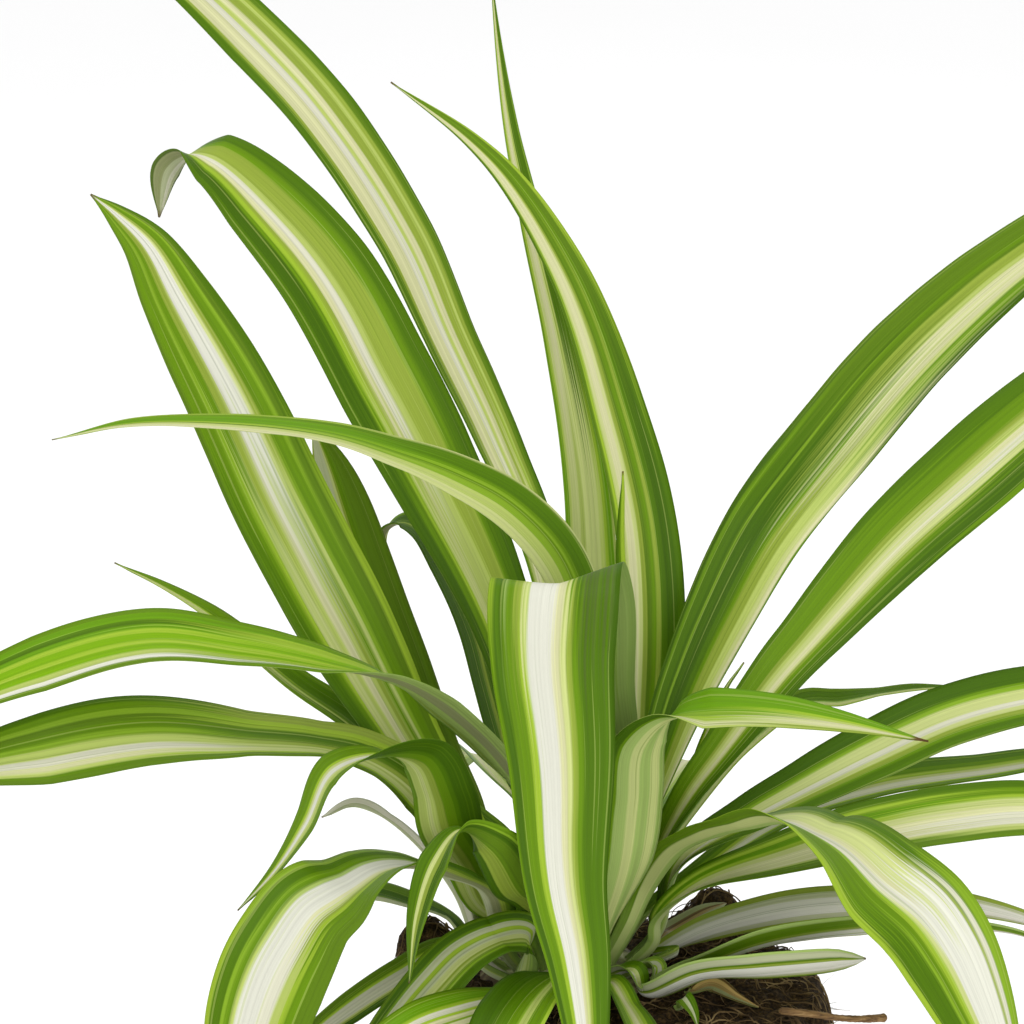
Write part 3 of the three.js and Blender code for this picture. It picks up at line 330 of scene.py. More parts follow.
# Bands across a blade from its left edge (0) to its right edge (1), looking outwards from the
# crown. "later" holds the bands further out, where the blade changes between the two shares of
# its length in "change", and "under" those of the underside, else it shows "upper" washed out.
LOOKS = {
    "plain": dict(upper=bands(
        0, DARK, 0.1, GREEN, 0.24, LIME, 0.34, SAP, 0.42, CREAM, 0.56, PALE, 0.66, LIME,
        0.74, GREEN, 0.9, DARK)),
    "leaf_centre_young": dict(
        upper=bands(0, SAP, 0.2, PALE, 0.32, SAP, 0.5, LIME, 0.6, GREEN, 0.75, DARK),
        under=bands(0, OLIVE, 0.3, SAP, 0.45, LIME, 0.6, GREEN, 0.75, DARK)),
    "leaf_centre_tall": dict(
        upper=bands(0, MOSS, 0.06, LIME, 0.12, PALE, 0.19, CREAM, 0.32, PALE, 0.38, OLIVE,
                    0.46, MOSS, 0.53, GREEN, 0.6, OLIVE, 0.66, DARK, 0.74, DEEP, 0.9, DARK),
        later=bands(0, DARK, 0.06, GREEN, 0.1, PALE, 0.15, CREAM, 0.38, PALE, 0.42, OLIVE,
                    0.47, MOSS, 0.6, GREEN, 0.74, MOSS, 0.9, LIME),
        change=(0.55, 0.8)),
    "leaf_left_tallest": dict(
        upper=bands(0, GREEN, 0.06, OLIVE, 0.1, PALE, 0.15, CREAM, 0.3, PALE, 0.36, SAP,
                    0.42, PALE, 0.5, SAP, 0.58, OLIVE, 0.7, PALE, 0.76, LIME, 0.8, GREEN,
                    0.86, MOSS, 0.94, DEEP),
        later=bands(0, DARK, 0.11, MOSS, 0.14, OLIVE, 0.18, CREAM, 0.4, WHITE, 0.51, SAP,
                    0.57, CREAM, 0.66, OLIVE, 0.78, SAP, 0.82, OLIVE, 0.88, MOSS, 0.94, DARK),
        change=(0.2, 0.4)),
    "leaf_left_long_thin": dict(
        upper=bands(0, PALE, 0.2, SAP, 0.42, LEAFY, 0.56, GREEN, 0.61, LEAFY, 0.66, GREEN,
                    0.72, DARK, 0.97, PALE),
        later=bands(0, CREAM, 0.2, PALE, 0.36, SAP, 0.44, DARK, 0.49, LIME, 0.56, FRESH,
                    0.84, GREEN, 0.94, LIME),
        change=(0.6, 0.78)),
    "leaf_front_creased": dict(
        upper=bands(0, DEEP, 0.05, GREY, 0.3, DARK, 0.37, GREEN, 0.4, OLIVE, 0.43, CREAM,
                    0.5, SNOW, 0.7, PALE, 0.75, OLIVE, 0.82, GREEN, 0.87, SAGE, 0.9, DARK,
                    0.97, LIME),
        later=bands(0, DEEP, 0.06, DARK, 0.28, GREEN, 0.34, OLIVE, 0.39, PALE, 0.44, CREAM,
                    0.5, SNOW, 0.7, LIME, 0.77, GREEN, 0.9, DEEP, 0.97, GREEN),
        change=(0.42, 0.55)),
    "leaf_right_tall": dict(
        upper=bands(0, DEEP, 0.06, GREEN, 0.1, DARK, 0.2, DEEP, 0.24, LEAFY, 0.265, DEEP,
                    0.46, DARK, 0.54, GREEN, 0.6, OLIVE, 0.76, SAP, 0.87, PALE, 0.93, CREAM,
                    0.98, GREEN),
        later=bands(0, MOSS, 0.24, GREEN, 0.3, MOSS, 0.34, OLIVE, 0.46, SAP, 0.52, CREAM,
                    0.73, PALE, 0.78, GREEN, 0.9, DEEP),
        change=(0.4, 0.6)),
    "leaf_right_second": dict(
        upper=bands(0, DARK, 0.08, GREEN, 0.34, OLIVE, 0.4, SAP, 0.45, PALE, 0.52, CREAM,
                    0.6, PALE, 0.65, OLIVE, 0.69, GREEN, 0.75, DARK, 0.86, DEEP),
        later=bands(0, DARK, 0.18, GREEN, 0.33, OLIVE, 0.38, SAP, 0.44, CREAM, 0.5, WHITE,
                    0.57, PALE, 0.64, GREEN, 0.68, DARK, 0.75, DEEP, 0.92, GREEN),
        change=(0.46, 0.6)),
    "leaf_centre_back": dict(
        upper=bands(0, FRESH, 0.09, SAP, 0.14, PALE, 0.32, SAP, 0.42, PALE, 0.7, SAP,
                    0.78, LIME, 0.84, FRESH, 0.95, SAP),
        later=bands(0, GREEN, 0.06, LIME, 0.14, PALE, 0.22, CREAM, 0.4, PALE, 0.46, OLIVE,
                    0.5, SAP, 0.54, DARK, 0.9, GREEN),
        change=(0.5, 0.62)),
    "leaf_left_bent_tip": dict(
        upper=bands(0, DEEP, 0.14, GREEN, 0.24, LIME, 0.29, PALE, 0.4, SAP, 0.6, OLIVE,
                    0.75, GREEN, 0.8, DARK, 0.9, DEEP),
        later=bands(0, DARK, 0.1, DEEP, 0.24, GREEN, 0.29, LIME, 0.35, OLIVE, 0.39, CREAM,
                    0.45, WHITE, 0.52, SAP, 0.58, OLIVE, 0.77, GREEN, 0.86, DARK),
        change=(0.42, 0.62),
        under=bands(0, GREY, 0.1, HUSKY, 0.4, GHOST, 0.62, WHITE, 0.8, GHOST, 0.94, GREY)),
    "leaf_left_broad": dict(
        upper=bands(0, DARK, 0.14, GREEN, 0.2, LIME, 0.25, PALE, 0.35, SAP, 0.41, CREAM,
                    0.5, SAP, 0.55, OLIVE, 0.6, GREEN, 0.66, PALE, 0.69, LEAFY, 0.74, GREEN,
                    0.84, MOSS, 0.93, LIME),
        later=bands(0, MOSS, 0.05, GREEN, 0.2, LEAFY, 0.26, GREEN, 0.34, OLIVE, 0.42, SAP,
                    0.45, SNOW, 0.62, PALE, 0.66, OLIVE, 0.71, GREEN, 0.82, LEAFY, 0.86,
                    MOSS, 0.92, DARK),
        change=(0.45, 0.7)),
    "leaf_left_upper_arch": dict(
        upper=bands(0, GREEN, 0.16, LEAFY, 0.28, LIME, 0.34, GRASS, 0.44, LIME, 0.55, GRASS,
                    0.68, LIME, 0.85, GREEN),
        later=bands(0, MOSS, 0.1, SNOW, 0.18, SAP, 0.28, GRASS, 0.42, LIME, 0.5, GRASS,
                    0.62, LIME, 0.69, FRESH, 0.76, DARK, 0.83, FRESH, 0.93, GREEN),
        change=(0.47, 0.6),
        under=bands(0, SAGE, 0.2, HUSKY, 0.4, SAGE, 0.64, OLIVE, 0.72, SAGE, 0.86, GREEN)),
    "leaf_left_lower_arch": dict(
        upper=bands(0, MOSS, 0.12, LIME, 0.18, PALE, 0.3, SAP, 0.37, PALE, 0.43, OLIVE,
                    0.53, MOSS, 0.6, DARK, 0.72, LIME, 0.85, OLIVE),
        later=bands(0, MOSS, 0.08, GREEN, 0.13, SAP, 0.19, CREAM, 0.27, WHITE, 0.38, SAP,
                    0.52, LEAFY, 0.6, GREEN, 0.7, MOSS, 0.78, LEAFY, 0.84, GREEN, 0.93, DARK),
        change=(0.5, 0.62)),
    "leaf_left_narrow": dict(
        upper=bands(0, GREEN, 0.16, DARK, 0.22, SAP, 0.29, GREEN, 0.36, DARK, 0.85, GREEN),
        later=bands(0, SAP, 0.1, PALE, 0.34, LIME, 0.44, GREEN, 0.9, MOSS),
        change=(0.62, 0.78)),
    "leaf_left_dropping": dict(
        upper=bands(0, MOSS, 0.14, GREEN, 0.22, SAP, 0.34, PALE, 0.42, SNOW, 0.56, PALE,
                    0.62, LIME, 0.69, GREEN),
        under=bands(0, DEEP, 0.3, DARK, 0.36, GREEN, 0.5, OLIVE, 0.62, SAP, 0.7, PALE,
                    0.78, SAP, 0.92, GREEN)),
    "leaf_front_small_drop": dict(
        upper=bands(0, MOSS, 0.08, DEEP, 0.33, OLIVE, 0.5, PALE, 0.63, GREEN, 0.7, DARK),
        under=bands(0, GREEN, 0.1, LEAFY, 0.14, DEEP, 0.26, MOSS, 0.56, OLIVE, 0.84, DEEP)),
    "leaf_left_back_curl": dict(
        upper=bands(0, DEEP, 0.3, DARK, 0.42, OLIVE, 0.5, DARK, 0.62, DEEP, 0.85, GREEN),
        under=bands(0, MOSS, 0.1, HUSKY, 0.5, PALE, 0.8, HUSKY)),
    "leaf_left_behind": dict(
        upper=bands(0, OLIVE, 0.06, GHOST, 0.4, PALE, 0.45, OLIVE, 0.5, GREEN, 0.62, MOSS)),
    "leaf_front_left_arch": dict(
        upper=bands(0, MOSS, 0.24, GREEN, 0.3, LIME, 0.35, OLIVE, 0.4, PALE, 0.46, CREAM,
                    0.51, SNOW, 0.7, SAGE, 0.745, GREEN, 0.83, DARK, 0.92, LEAFY),
        later=bands(0, MOSS, 0.15, GREEN, 0.25, LIME, 0.3, SAP, 0.38, WHITE, 0.5, SNOW,
                    0.7, SAP, 0.745, GREEN, 0.8, LEAFY, 0.84, DARK, 0.95, LIME),
        change=(0.58, 0.66),
        under=bands(0, DEEP, 0.1, MOSS, 0.17, OLIVE, 0.27, HUSKY, 0.42, GHOST, 0.6, OLIVE,
                    0.72, GREEN, 0.88, LEAFY)),
    "leaf_right_thin": dict(
        upper=bands(0, MOSS, 0.16, DARK, 0.6, GREEN, 0.68, SAGE, 0.76, PALE, 0.95, LIME)),
    "leaf_right_upper": dict(
        upper=bands(0, DEEP, 0.24, GREEN, 0.29, LEAFY, 0.34, PALE, 0.5, WHITE, 0.6, PALE,
                    0.68, OLIVE, 0.76, GREEN, 0.82, DARK)),
    "leaf_right_middle": dict(
        upper=bands(0, DARK, 0.24, GREEN, 0.36, LIME, 0.44, PALE, 0.52, WHITE, 0.78, LIME,
                    0.84, GREEN)),
    "leaf_right_lower": dict(
        upper=bands(0, DARK, 0.08, GREEN, 0.12, LIME, 0.2, FRESH, 0.3, LIME, 0.37, PALE,
                    0.46, CREAM, 0.76, SAP, 0.8, GREEN, 0.86, MOSS),
        later=bands(0, DARK, 0.11, GREEN, 0.23, LIME, 0.29, PALE, 0.42, CREAM, 0.52, WHITE,
                    0.76, PALE, 0.81, SAP, 0.88, MOSS),
        change=(0.45, 0.6)),
    "leaf_right_front_arch": dict(
        upper=bands(0, MOSS, 0.05, DARK, 0.1, MOSS, 0.17, OLIVE, 0.21, PALE, 0.4, CREAM,
                    0.46, WHITE, 0.55, LEAFY, 0.6, GREEN, 0.9, LIME),
        later=bands(0, LEAFY, 0.1, WHITE, 0.15, OLIVE, 0.18, SNOW, 0.5, PALE, 0.56, LIME,
                    0.62, GREEN, 0.68, LEAFY, 0.72, DARK, 0.95, LIME),
        change=(0.6, 0.68),
        under=bands(0, MOSS, 0.08, SAGE, 0.35, OLIVE, 0.42, SAGE, 0.6, PALE, 0.8, MOSS)),
    "leaf_right_folded": dict(
        upper=bands(0, FRESH, 0.46, LEAFY, 0.6, LIME, 0.76, PALE, 0.82, CREAM, 0.93, SAP),
        later=bands(0, FRESH, 0.36, LIME, 0.44, SAP, 0.52, CREAM, 0.78, PALE, 0.85, OLIVE),
        change=(0.66, 0.8),
        under=bands(0, SAGE, 0.12, PALE, 0.3, SAGE, 0.5, PALE, 0.64, SAGE, 0.8, GREEN,
                    0.85, DEEP),
        dry=0.97),
    "leaf_low_right_rear": dict(
        upper=bands(0, GREEN, 0.2, PALE, 0.35, WHITE, 0.75, LIME, 0.88, GREEN),
        under=bands(0, OLIVE, 0.14, GHOST, 0.3, SNOW, 0.72, GHOST, 0.86, OLIVE)),
    "leaf_low_right_front": dict(
        upper=bands(0, GREEN, 0.12, LIME, 0.22, WHITE, 0.4, LIME, 0.5, WHITE, 0.66, PALE,
                    0.78, GREEN, 0.93, DARK),
        under=bands(0, PALE, 0.08, OLIVE, 0.16, SNOW, 0.38, SAGE, 0.44, SNOW, 0.59, OLIVE,
                    0.66, GREEN, 0.78, MOSS, 0.9, SAGE)),
    "leaf_low_right_blunt": dict(
        upper=bands(0, DARK, 0.2, GREEN, 0.34, PALE, 0.5, WHITE, 0.72, LIME, 0.86, GREEN),
        under=bands(0, MOSS, 0.08, OLIVE, 0.16, GHOST, 0.3, SNOW, 0.64, OLIVE, 0.7, MOSS,
                    0.76, GHOST, 0.94, SAGE)),
    "leaf_low_left_rear": dict(
        upper=bands(0, DEEP, 0.18, OLIVE, 0.24, PALE, 0.3, WHITE, 0.67, LIME, 0.74, GREEN,
                    0.84, MOSS)),
    "leaf_low_left_front": dict(
        upper=bands(0, DARK, 0.19, LEAFY, 0.24, GREEN, 0.29, SAP, 0.34, OLIVE, 0.39, PALE,
                    0.5, GHOST, 0.59, LIME, 0.68, GHOST, 0.79, GREEN, 0.84, DEEP, 0.94, MOSS)),
    "leaf_low_front_left": dict(
        upper=bands(0, MOSS, 0.1, LIME, 0.18, CREAM, 0.32, LEAFY, 0.38, CREAM, 0.5, LIME,
                    0.56, WHITE, 0.66, LIME, 0.72, FRESH, 0.88, GREEN)),
    "leaf_low_front": dict(
        upper=bands(0, LIME, 0.05, GREEN, 0.26, SAP, 0.38, LEAFY, 0.42, GREEN, 0.54, DARK,
                    0.7, DEEP)),
    "leaf_low_left_shaded": dict(
        upper=bands(0, GHOST, 0.28, MOSS, 0.4, DEEP, 0.7, MOSS)),
    "leaf_left_small_arch": dict(
        upper=bands(0, MOSS, 0.2, GREEN, 0.5, OLIVE, 0.8, MOSS),
        under=bands(0, WHITE, 0.3, GHOST, 0.6, SAGE, 0.85, OLIVE)),
    "leaf_tiny_on_soil": dict(
        upper=bands(0, DARK, 0.38, GHOST, 0.66, MOSS)),
    "dry_leaf_stub": dict(
        upper=bands(0, HUSKY, 0.28, BROWN, 0.42, TAN, 0.6, HUSKY), foot=0.03),
    "dead_leaf_on_soil": dict(
        upper=bands(0, BROWN, 0.12, STRAW, 0.3, TAN, 0.5, HUSKY, 0.86, BROWN), foot=0.03),
}


# ---------------------------------------------------------------- curves
def smoothstep(value):
    value = np.clip(value, 0, 1)
    return value * value * (3 - 2 * value)


def unit(vector):
    return vector / np.linalg.norm(vector, axis=-1, keepdims=True)


def catmull(points, steps):
    """Centripetal Catmull-Rom through the points, with extrapolated ends."""
    points = np.asarray(points, float)
    ends = np.vstack([2 * points[0] - points[1], points, 2 * points[-1] - points[-2]])
    curve = []
    for i in range(len(points) - 1):
        a, b, c, d = ends[i:i + 4]
        knots = np.concatenate([[0], np.cumsum([
            max(np.linalg.norm(q - p) ** 0.5, 1e-4) for p, q in ((a, b), (b, c), (c, d))])])
        t0, t1, t2, t3 = knots
        for k in range(steps):
            t = t1 + (t2 - t1) * k / steps
            a1 = (t1 - t) / (t1 - t0) * a + (t - t0) / (t1 - t0) * b
            a2 = (t2 - t) / (t2 - t1) * b + (t - t1) / (t2 - t1) * c
            a3 = (t3 - t) / (t3 - t2) * c + (t - t2) / (t3 - t2) * d
            b1 = (t2 - t) / (t2 - t0) * a1 + (t - t0) / (t2 - t0) * a2
            b2 = (t3 - t) / (t3 - t1) * a2 + (t - t1) / (t3 - t1) * a3
            curve.append((t2 - t) / (t2 - t1) * b1 + (t - t1) / (t2 - t1) * b2)
    curve.append(points[-1])
    return np.array(curve)


def leaf_spine(leaf):
    """Fine spine of a leaf and the blade's turn along it, as in the part's source."""
    heading = math.radians(leaf["heading"])
    outwards = np.array([math.cos(heading), math.sin(heading), 0.0])
    foot = outwards * leaf["ring"]
    foot += [CROWN_X, CROWN_Y, leaf.get("start", CROWN_PEAK - CROWN_SLOPE * leaf["ring"])]
    direction = unit(outwards * leaf["lean"] + [0, 0, 1])
    rooted = 0 if "start" in leaf else ROOTED
    points = [foot - direction * rooted, foot + direction * leaf["rise"]]
    points += [np.array(p[:3], float) for p in leaf["path"]]
    turns = [0, 0] + [p[3] for p in leaf["path"]]
    places = catmull(points, STEPS_PER_SPAN)
    knots = np.arange(len(points)) * STEPS_PER_SPAN
    return places, np.radians(np.interp(np.arange(len(places)), knots, turns)), heading


def sections(places, turns, every, bend_each):
    """Cross-section places, closer together where the spine bends or rolls."""
    steps = np.diff(places, axis=0)
    lengths = np.linalg.norm(steps, axis=1)
    ways = unit(steps)
    bends = np.arccos(np.clip((ways[:-1] * ways[1:]).sum(1), -1, 1))
    effort = lengths / every
    effort[:-1] += bends / bend_each
    effort += 0.5 * np.abs(np.diff(turns)) / bend_each
    effort = np.concatenate([[0], np.cumsum(effort)])
    travelled = np.concatenate([[0], np.cumsum(lengths)])
    count = max(16, int(round(effort[-1])))
    at = np.interp(np.linspace(0, effort[-1], count + 1), effort, np.arange(len(places)))
    index = np.arange(len(places))
    fine = np.stack([np.interp(at, index, places[:, k]) for k in range(3)], -1)
    return fine, np.interp(at, index, turns), np.interp(at, index, travelled)


def carried_frames(places, turns, heading):
    """Side and up directions, carried along the spine without twist and then rolled."""
    forward = unit(np.gradient(places, axis=0))
    across = np.array([math.sin(heading), -math.cos(heading), 0.0])
    sides = []
    for way, turn in zip(forward, turns):
        across = unit(across - (across @ way) * way)
        sides.append(across * math.cos(turn) + np.cross(way, across) * math.sin(turn))
    sides = np.array(sides)
    return forward, sides, np.cross(sides, forward)


# ---------------------------------------------------------------- mesh helpers
def new_object(name, points, faces):
    mesh = bpy.data.meshes.new(name)
    mesh.from_pydata([tuple(p) for p in np.asarray(points) * MM], [], faces)
    mesh.validate()
    mesh.update()
    mesh.shade_smooth()
    piece = bpy.data.objects.new(name, mesh)
    bpy.context.scene.collection.objects.link(piece)
    return piece


def put_values(piece, name, values):
    layer = piece.data.attributes.new(name, "FLOAT", "POINT")
    layer.data.foreach_set("value", np.asarray(values, np.float32))


def dress(piece, node, material):
    piece.data.materials.append(material)
    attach(piece, "root")
    if node:
        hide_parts(node)


# ---------------------------------------------------------------- leaves
ACROSS = 14  # strips across a blade
BLADE = 0.55  # thickness of a blade at its middle
EDGE = 0.16  # thickness at its edges
SECTION_EVERY = 3.0
BEND_PER_SECTION = 0.075
TIP_WIDTH = 0.5  # least width of a blade
WAVE = 0.11  # height of the waves in its edges
WAVE_LENGTHS = (34, 62)  # shortest and longest wave
KEEL = 0.06  # rounding of the fold, as a share of half its width
DROOP = 0.02  # how far its edges hang, as a share of half its width


def blade_width(leaf, along):
    base, belly = leaf["base"], leaf["belly"]
    swell = base + (1 - base) * smoothstep(along / belly)
    past = np.clip((along - belly) / (1 - belly), 0, 1)
    share = np.where(along < belly, swell, 1 - past ** leaf["taper"])
    return np.maximum(leaf["width"] * share, TIP_WIDTH)


def blade_fold(leaf, along):
    base, middle, tip = leaf["fold"]
    opened = base + (middle - base) * smoothstep(along / 0.3)
    closed = middle + (tip - middle) * smoothstep((along - 0.3) / 0.7)
    return np.radians(np.where(along < 0.3, opened, closed))


def leaf_points(leaf, seed):
    draw = random.Random(seed)
    places, turns, heading = leaf_spine(leaf)
    places, turns, travelled = sections(places, turns, SECTION_EVERY, BEND_PER_SECTION)
    forward, side, up = carried_frames(places, turns, heading)
    along = travelled / travelled[-1]
    half = blade_width(leaf, along) / 2
    fold = blade_fold(leaf, along)
    free = smoothstep((along - 0.08) / 0.25) * smoothstep((1 - along) / 0.06)
    cuts = np.linspace(-1, 1, ACROSS + 1)
    rows = []
    phases = [draw.uniform(0, 6.28) for _ in range(6)]
    lengths = [draw.uniform(*WAVE_LENGTHS), draw.uniform(*WAVE_LENGTHS)]
    for cut in cuts:
        reach = half * abs(cut)
        keel = KEEL * half
        rise = (np.sqrt(reach ** 2 + keel ** 2) - keel) * np.sin(fold)
        out = cut * half * np.cos(fold)
        k = 0 if cut < 0 else 1
        ripple = np.sin(6.283 * travelled / lengths[k] + phases[k])
        ripple = ripple + 0.6 * np.sin(6.283 * travelled / (lengths[k] * 0.43) + phases[k + 2])
        rise = rise + WAVE * free * abs(cut) ** 2.2 * ripple * np.minimum(half / 5, 1)
        rise = rise - DROOP * free * half * abs(cut) ** 4
        rows.append(places + side * out[:, None] + up * rise[:, None])
    top = np.array(rows)  # [across][section][xyz]
    span = np.gradient(top, axis=0)
    run = np.gradient(top, axis=1)
    normal = unit(np.cross(span, run) + 1e-12)
    normal *= np.where((normal * up[None]).sum(-1, keepdims=True) < 0, -1, 1)
    thick = EDGE + (BLADE - EDGE) * (1 - np.abs(cuts) ** 3)
    shrink = 0.35 + 0.65 * smoothstep((1 - along) / 0.04)
    bottom = top - normal * thick[:, None, None] * shrink[None, :, None]
    return top, bottom, travelled, along


def leaf_piece(node, leaf, material, seed):
    top, bottom, travelled, along = leaf_points(leaf, seed)
    n_across, n_along = top.shape[:2]
    points = np.vstack([top.reshape(-1, 3), bottom.reshape(-1, 3)])
    low = n_across * n_along
    at = lambda i, j: i * n_along + j
    faces = []
    for i in range(n_across - 1):
        for j in range(n_along - 1):
            faces.append((at(i, j), at(i + 1, j), at(i + 1, j + 1), at(i, j + 1)))
            faces.append((low + at(i, j), low + at(i, j + 1),
                          low + at(i + 1, j + 1), low + at(i + 1, j)))
    last = n_across - 1
    for j in range(n_along - 1):
        faces.append((at(0, j), at(0, j + 1), low + at(0, j + 1), low + at(0, j)))
        faces.append((at(last, j + 1), at(last, j), low + at(last, j), low + at(last, j + 1)))
    for i in range(n_across - 1):
        end = n_along - 1
        faces.append((at(i + 1, 0), at(i, 0), low + at(i, 0), low + at(i + 1, 0)))
        faces.append((at(i, end), at(i + 1, end), low + at(i + 1, end), low + at(i, end)))
    piece = new_object(node + "_blade", points, faces)
    across = np.tile(np.repeat(np.linspace(0, 1, n_across), n_along), 2)
    far = np.tile(np.tile(travelled, n_across), 2)
    share = np.tile(np.tile(along, n_across), 2)
    uv = piece.data.uv_layers.new(name="Blade")
    corner = np.zeros(len(piece.data.loops), int)
    piece.data.loops.foreach_get("vertex_index", corner)
    uv.data.foreach_set("uv", np.stack([across, far * 0.01], -1)[corner].astype(
        np.float32).ravel())
    put_values(piece, "along", share)
    put_values(piece, "under", np.arange(len(points)) >= low)
    dress(piece, node, material)


# ---------------------------------------------------------------- materials
class Nodes:
    """A small helper that adds and joins shader nodes."""

    def __init__(self, name):
        self.material = bpy.data.materials.new(name)
        self.material.use_nodes = True
        self.tree = self.material.node_tree
        self.shader = self.tree.nodes["Principled BSDF"]

    def add(self, kind, inputs=None, **settings):
        node = self.tree.nodes.new(kind)
        for key, value in settings.items():
            setattr(node, key, value)
        for key, value in (inputs or {}).items():
            self.feed(node.inputs[key], value)
        return node

    def feed(self, socket, value):
        if isinstance(value, bpy.types.NodeSocket):
            self.tree.links.new(value, socket)
        else:
            socket.default_value = value

    def math(self, operation, *values, clamp=False):
        node = self.add("ShaderNodeMath", operation=operation, use_clamp=clamp)
        for socket, value in zip(node.inputs, values):
            self.feed(socket, value)
        return node.outputs[0]

    def plus(self, first, second):
        return self.math("ADD", first, second)

    def times(self, first, second):
        return self.math("MULTIPLY", first, second)

    def swing(self, value, size):
        """The value, which runs from 0 to 1, as a swing of this size about zero."""
        return self.times(self.math("SUBTRACT", value, 0.5), size)

    def mix(self, share, first, second, blend="MIX"):
        node = self.add("ShaderNodeMix", data_type="RGBA", blend_type=blend)
        self.feed(node.inputs[0], share)
        self.feed(node.inputs[6], first)
        self.feed(node.inputs[7], second)
        return node.outputs[2]

    def ramp(self, share, stops):
        node = self.add("ShaderNodeValToRGB", {"Fac": share})
        marks = node.color_ramp.elements
        while len(marks) > 1:
            marks.remove(marks[-1])
        marks[0].position, marks[0].color = stops[0]
        for place, value in stops[1:]:
            marks.new(place).color = value
        return node.outputs["Color"]

    def band(self, value, low, high, start=0.0, end=1.0):
        node = self.add("ShaderNodeMapRange", {
            "Value": value, "From Min": low, "From Max": high, "To Min": start, "To Max": end})
        return node.outputs[0]

    def vector(self, x, y, z=0.0):
        return self.add("ShaderNodeCombineXYZ", {"X": x, "Y": y, "Z": z}).outputs[0]

    def noise(self, vector, scale, detail=2.0, rough=0.5):
        node = self.add("ShaderNodeTexNoise", {
            "Vector": vector, "Scale": scale, "Detail": detail, "Roughness": rough})
        return node.outputs["Fac"]

    def bump(self, height, strength, distance, normal=None):
        node = self.add("ShaderNodeBump", {
            "Height": height, "Strength": strength, "Distance": distance})
        if normal is not None:
            self.feed(node.inputs["Normal"], normal)
        return node.outputs[0]

    def done(self, base, roughness, normal=None, specular=0.5):
        self.feed(self.shader.inputs["Base Color"], base)
        self.feed(self.shader.inputs["Roughness"], roughness)
        self.shader.inputs["Specular IOR Level"].default_value = specular
        if normal is not None:
            self.feed(self.shader.inputs["Normal"], normal)
        return self.material


def leaf_material(name, looks, seed):
    k = Nodes(name)
    uv = k.add("ShaderNodeUVMap", uv_map="Blade").outputs[0]
    split = k.add("ShaderNodeSeparateXYZ", {"Vector": uv})
    across, far = split.outputs["X"], split.outputs["Y"]
    along = k.add("ShaderNodeAttribute", attribute_name="along").outputs["Fac"]
    under = k.add("ShaderNodeAttribute", attribute_name="under").outputs["Fac"]
    # stripes run with the veins and wander only a little
    slow = k.noise(k.vector(seed * 3.7, far), 3.0, 1.0)
    fine = k.noise(k.vector(k.times(across, 26.0), far, seed), 2.0, 2.0, 0.5)
    wander = k.plus(k.swing(slow, 0.05), k.swing(fine, 0.045))
    place = k.math("ADD", across, wander, clamp=True)
    stripes = k.ramp(place, looks["upper"])
    if "later" in looks:
        start, end = looks["change"]
        turn = k.plus(along, k.swing(fine, 0.5))
        stripes = k.mix(k.band(turn, start, end), stripes, k.ramp(place, looks["later"]))
    # thin lines along the veins that begin and end on their own
    lines = k.noise(k.vector(k.times(across, 34.0), k.times(far, 0.8), seed + 4.0), 1.0, 1.0)
    stripes = k.mix(k.band(lines, 0.64, 0.67, 0.0, 0.32), stripes, SAP)
    stripes = k.mix(k.band(lines, 0.34, 0.31, 0.0, 0.3), stripes, MOSS)
    below = k.ramp(place, looks.get("under") or washed(looks["upper"]))
    below = k.mix(k.band(lines, 0.36, 0.33, 0.0, 0.4), below, MOSS)
    blade = k.mix(under, stripes, below)
    # veins: fine threads that run the whole length
    threads = k.noise(k.vector(k.times(across, 60.0), k.times(far, 0.6), seed), 1.0, 2.0, 0.6)
    veins = k.noise(k.vector(k.times(across, 15.0), k.times(far, 0.5), seed + 9.0), 1.0, 1.0)
    shade = k.plus(k.band(threads, 0.3, 0.7, -0.09, 0.09), k.band(veins, 0.3, 0.7, -0.08, 0.08))
    light = k.plus(shade, 1.0)
    blade = k.mix(1.0, blade, k.vector(light, light, light), "MULTIPLY")
    # pale, fleshy foot
    foot = k.band(along, 0.01, looks.get("foot", 0.12), 0.7, 0.0)
    blade = k.mix(foot, blade, SAGE)
    # dry tip
    crisp = k.plus(along, k.swing(fine, 0.02))
    dry_from = looks.get("dry", 0.99)
    blade = k.mix(k.band(crisp, dry_from, min(dry_from + 0.01, 1.0)), blade, BROWN)
    ridges = k.plus(k.times(threads, 0.6), veins)
    normal = k.bump(ridges, 0.45, 0.00035)
    roughness = k.plus(k.band(threads, 0.3, 0.7, -0.05, 0.05), k.band(under, 0.0, 1.0, 0.46, 0.62))
    return k.done(blade, roughness, normal, 0.1)


def washed(stops):
    """The same bands as the underside shows them: paler and less distinct."""
    veil = np.array(SAGE)
    return [(place, tuple(0.5 * np.array(value) + 0.5 * veil)) for place, value in stops]


# ---------------------------------------------------------------- compost
def compost_height(x, y):
    radius = np.hypot(x, y)
    over = np.maximum(radius - BALL_SHOULDER, 0)
    clods = sum(rise * smoothstep(1 - np.hypot(x - cx, y - cy) / spread)
                for cx, cy, spread, rise in CLODS)
    grain = np.sin(0.31 * x + 1.3) * np.cos(0.27 * y - 0.4) + 0.6 * np.sin(0.55 * x - 0.48 * y)
    return (BALL_CENTRE - BALL_SAG * radius ** 2 - BALL_FALL * over ** 2 + clods + 0.9 * grain)


def rough(x, y, z, scale, seed):
    return noise.fractal(Vector((x * scale + seed, y * scale, z * scale)), 0.9, 2.1, 4)


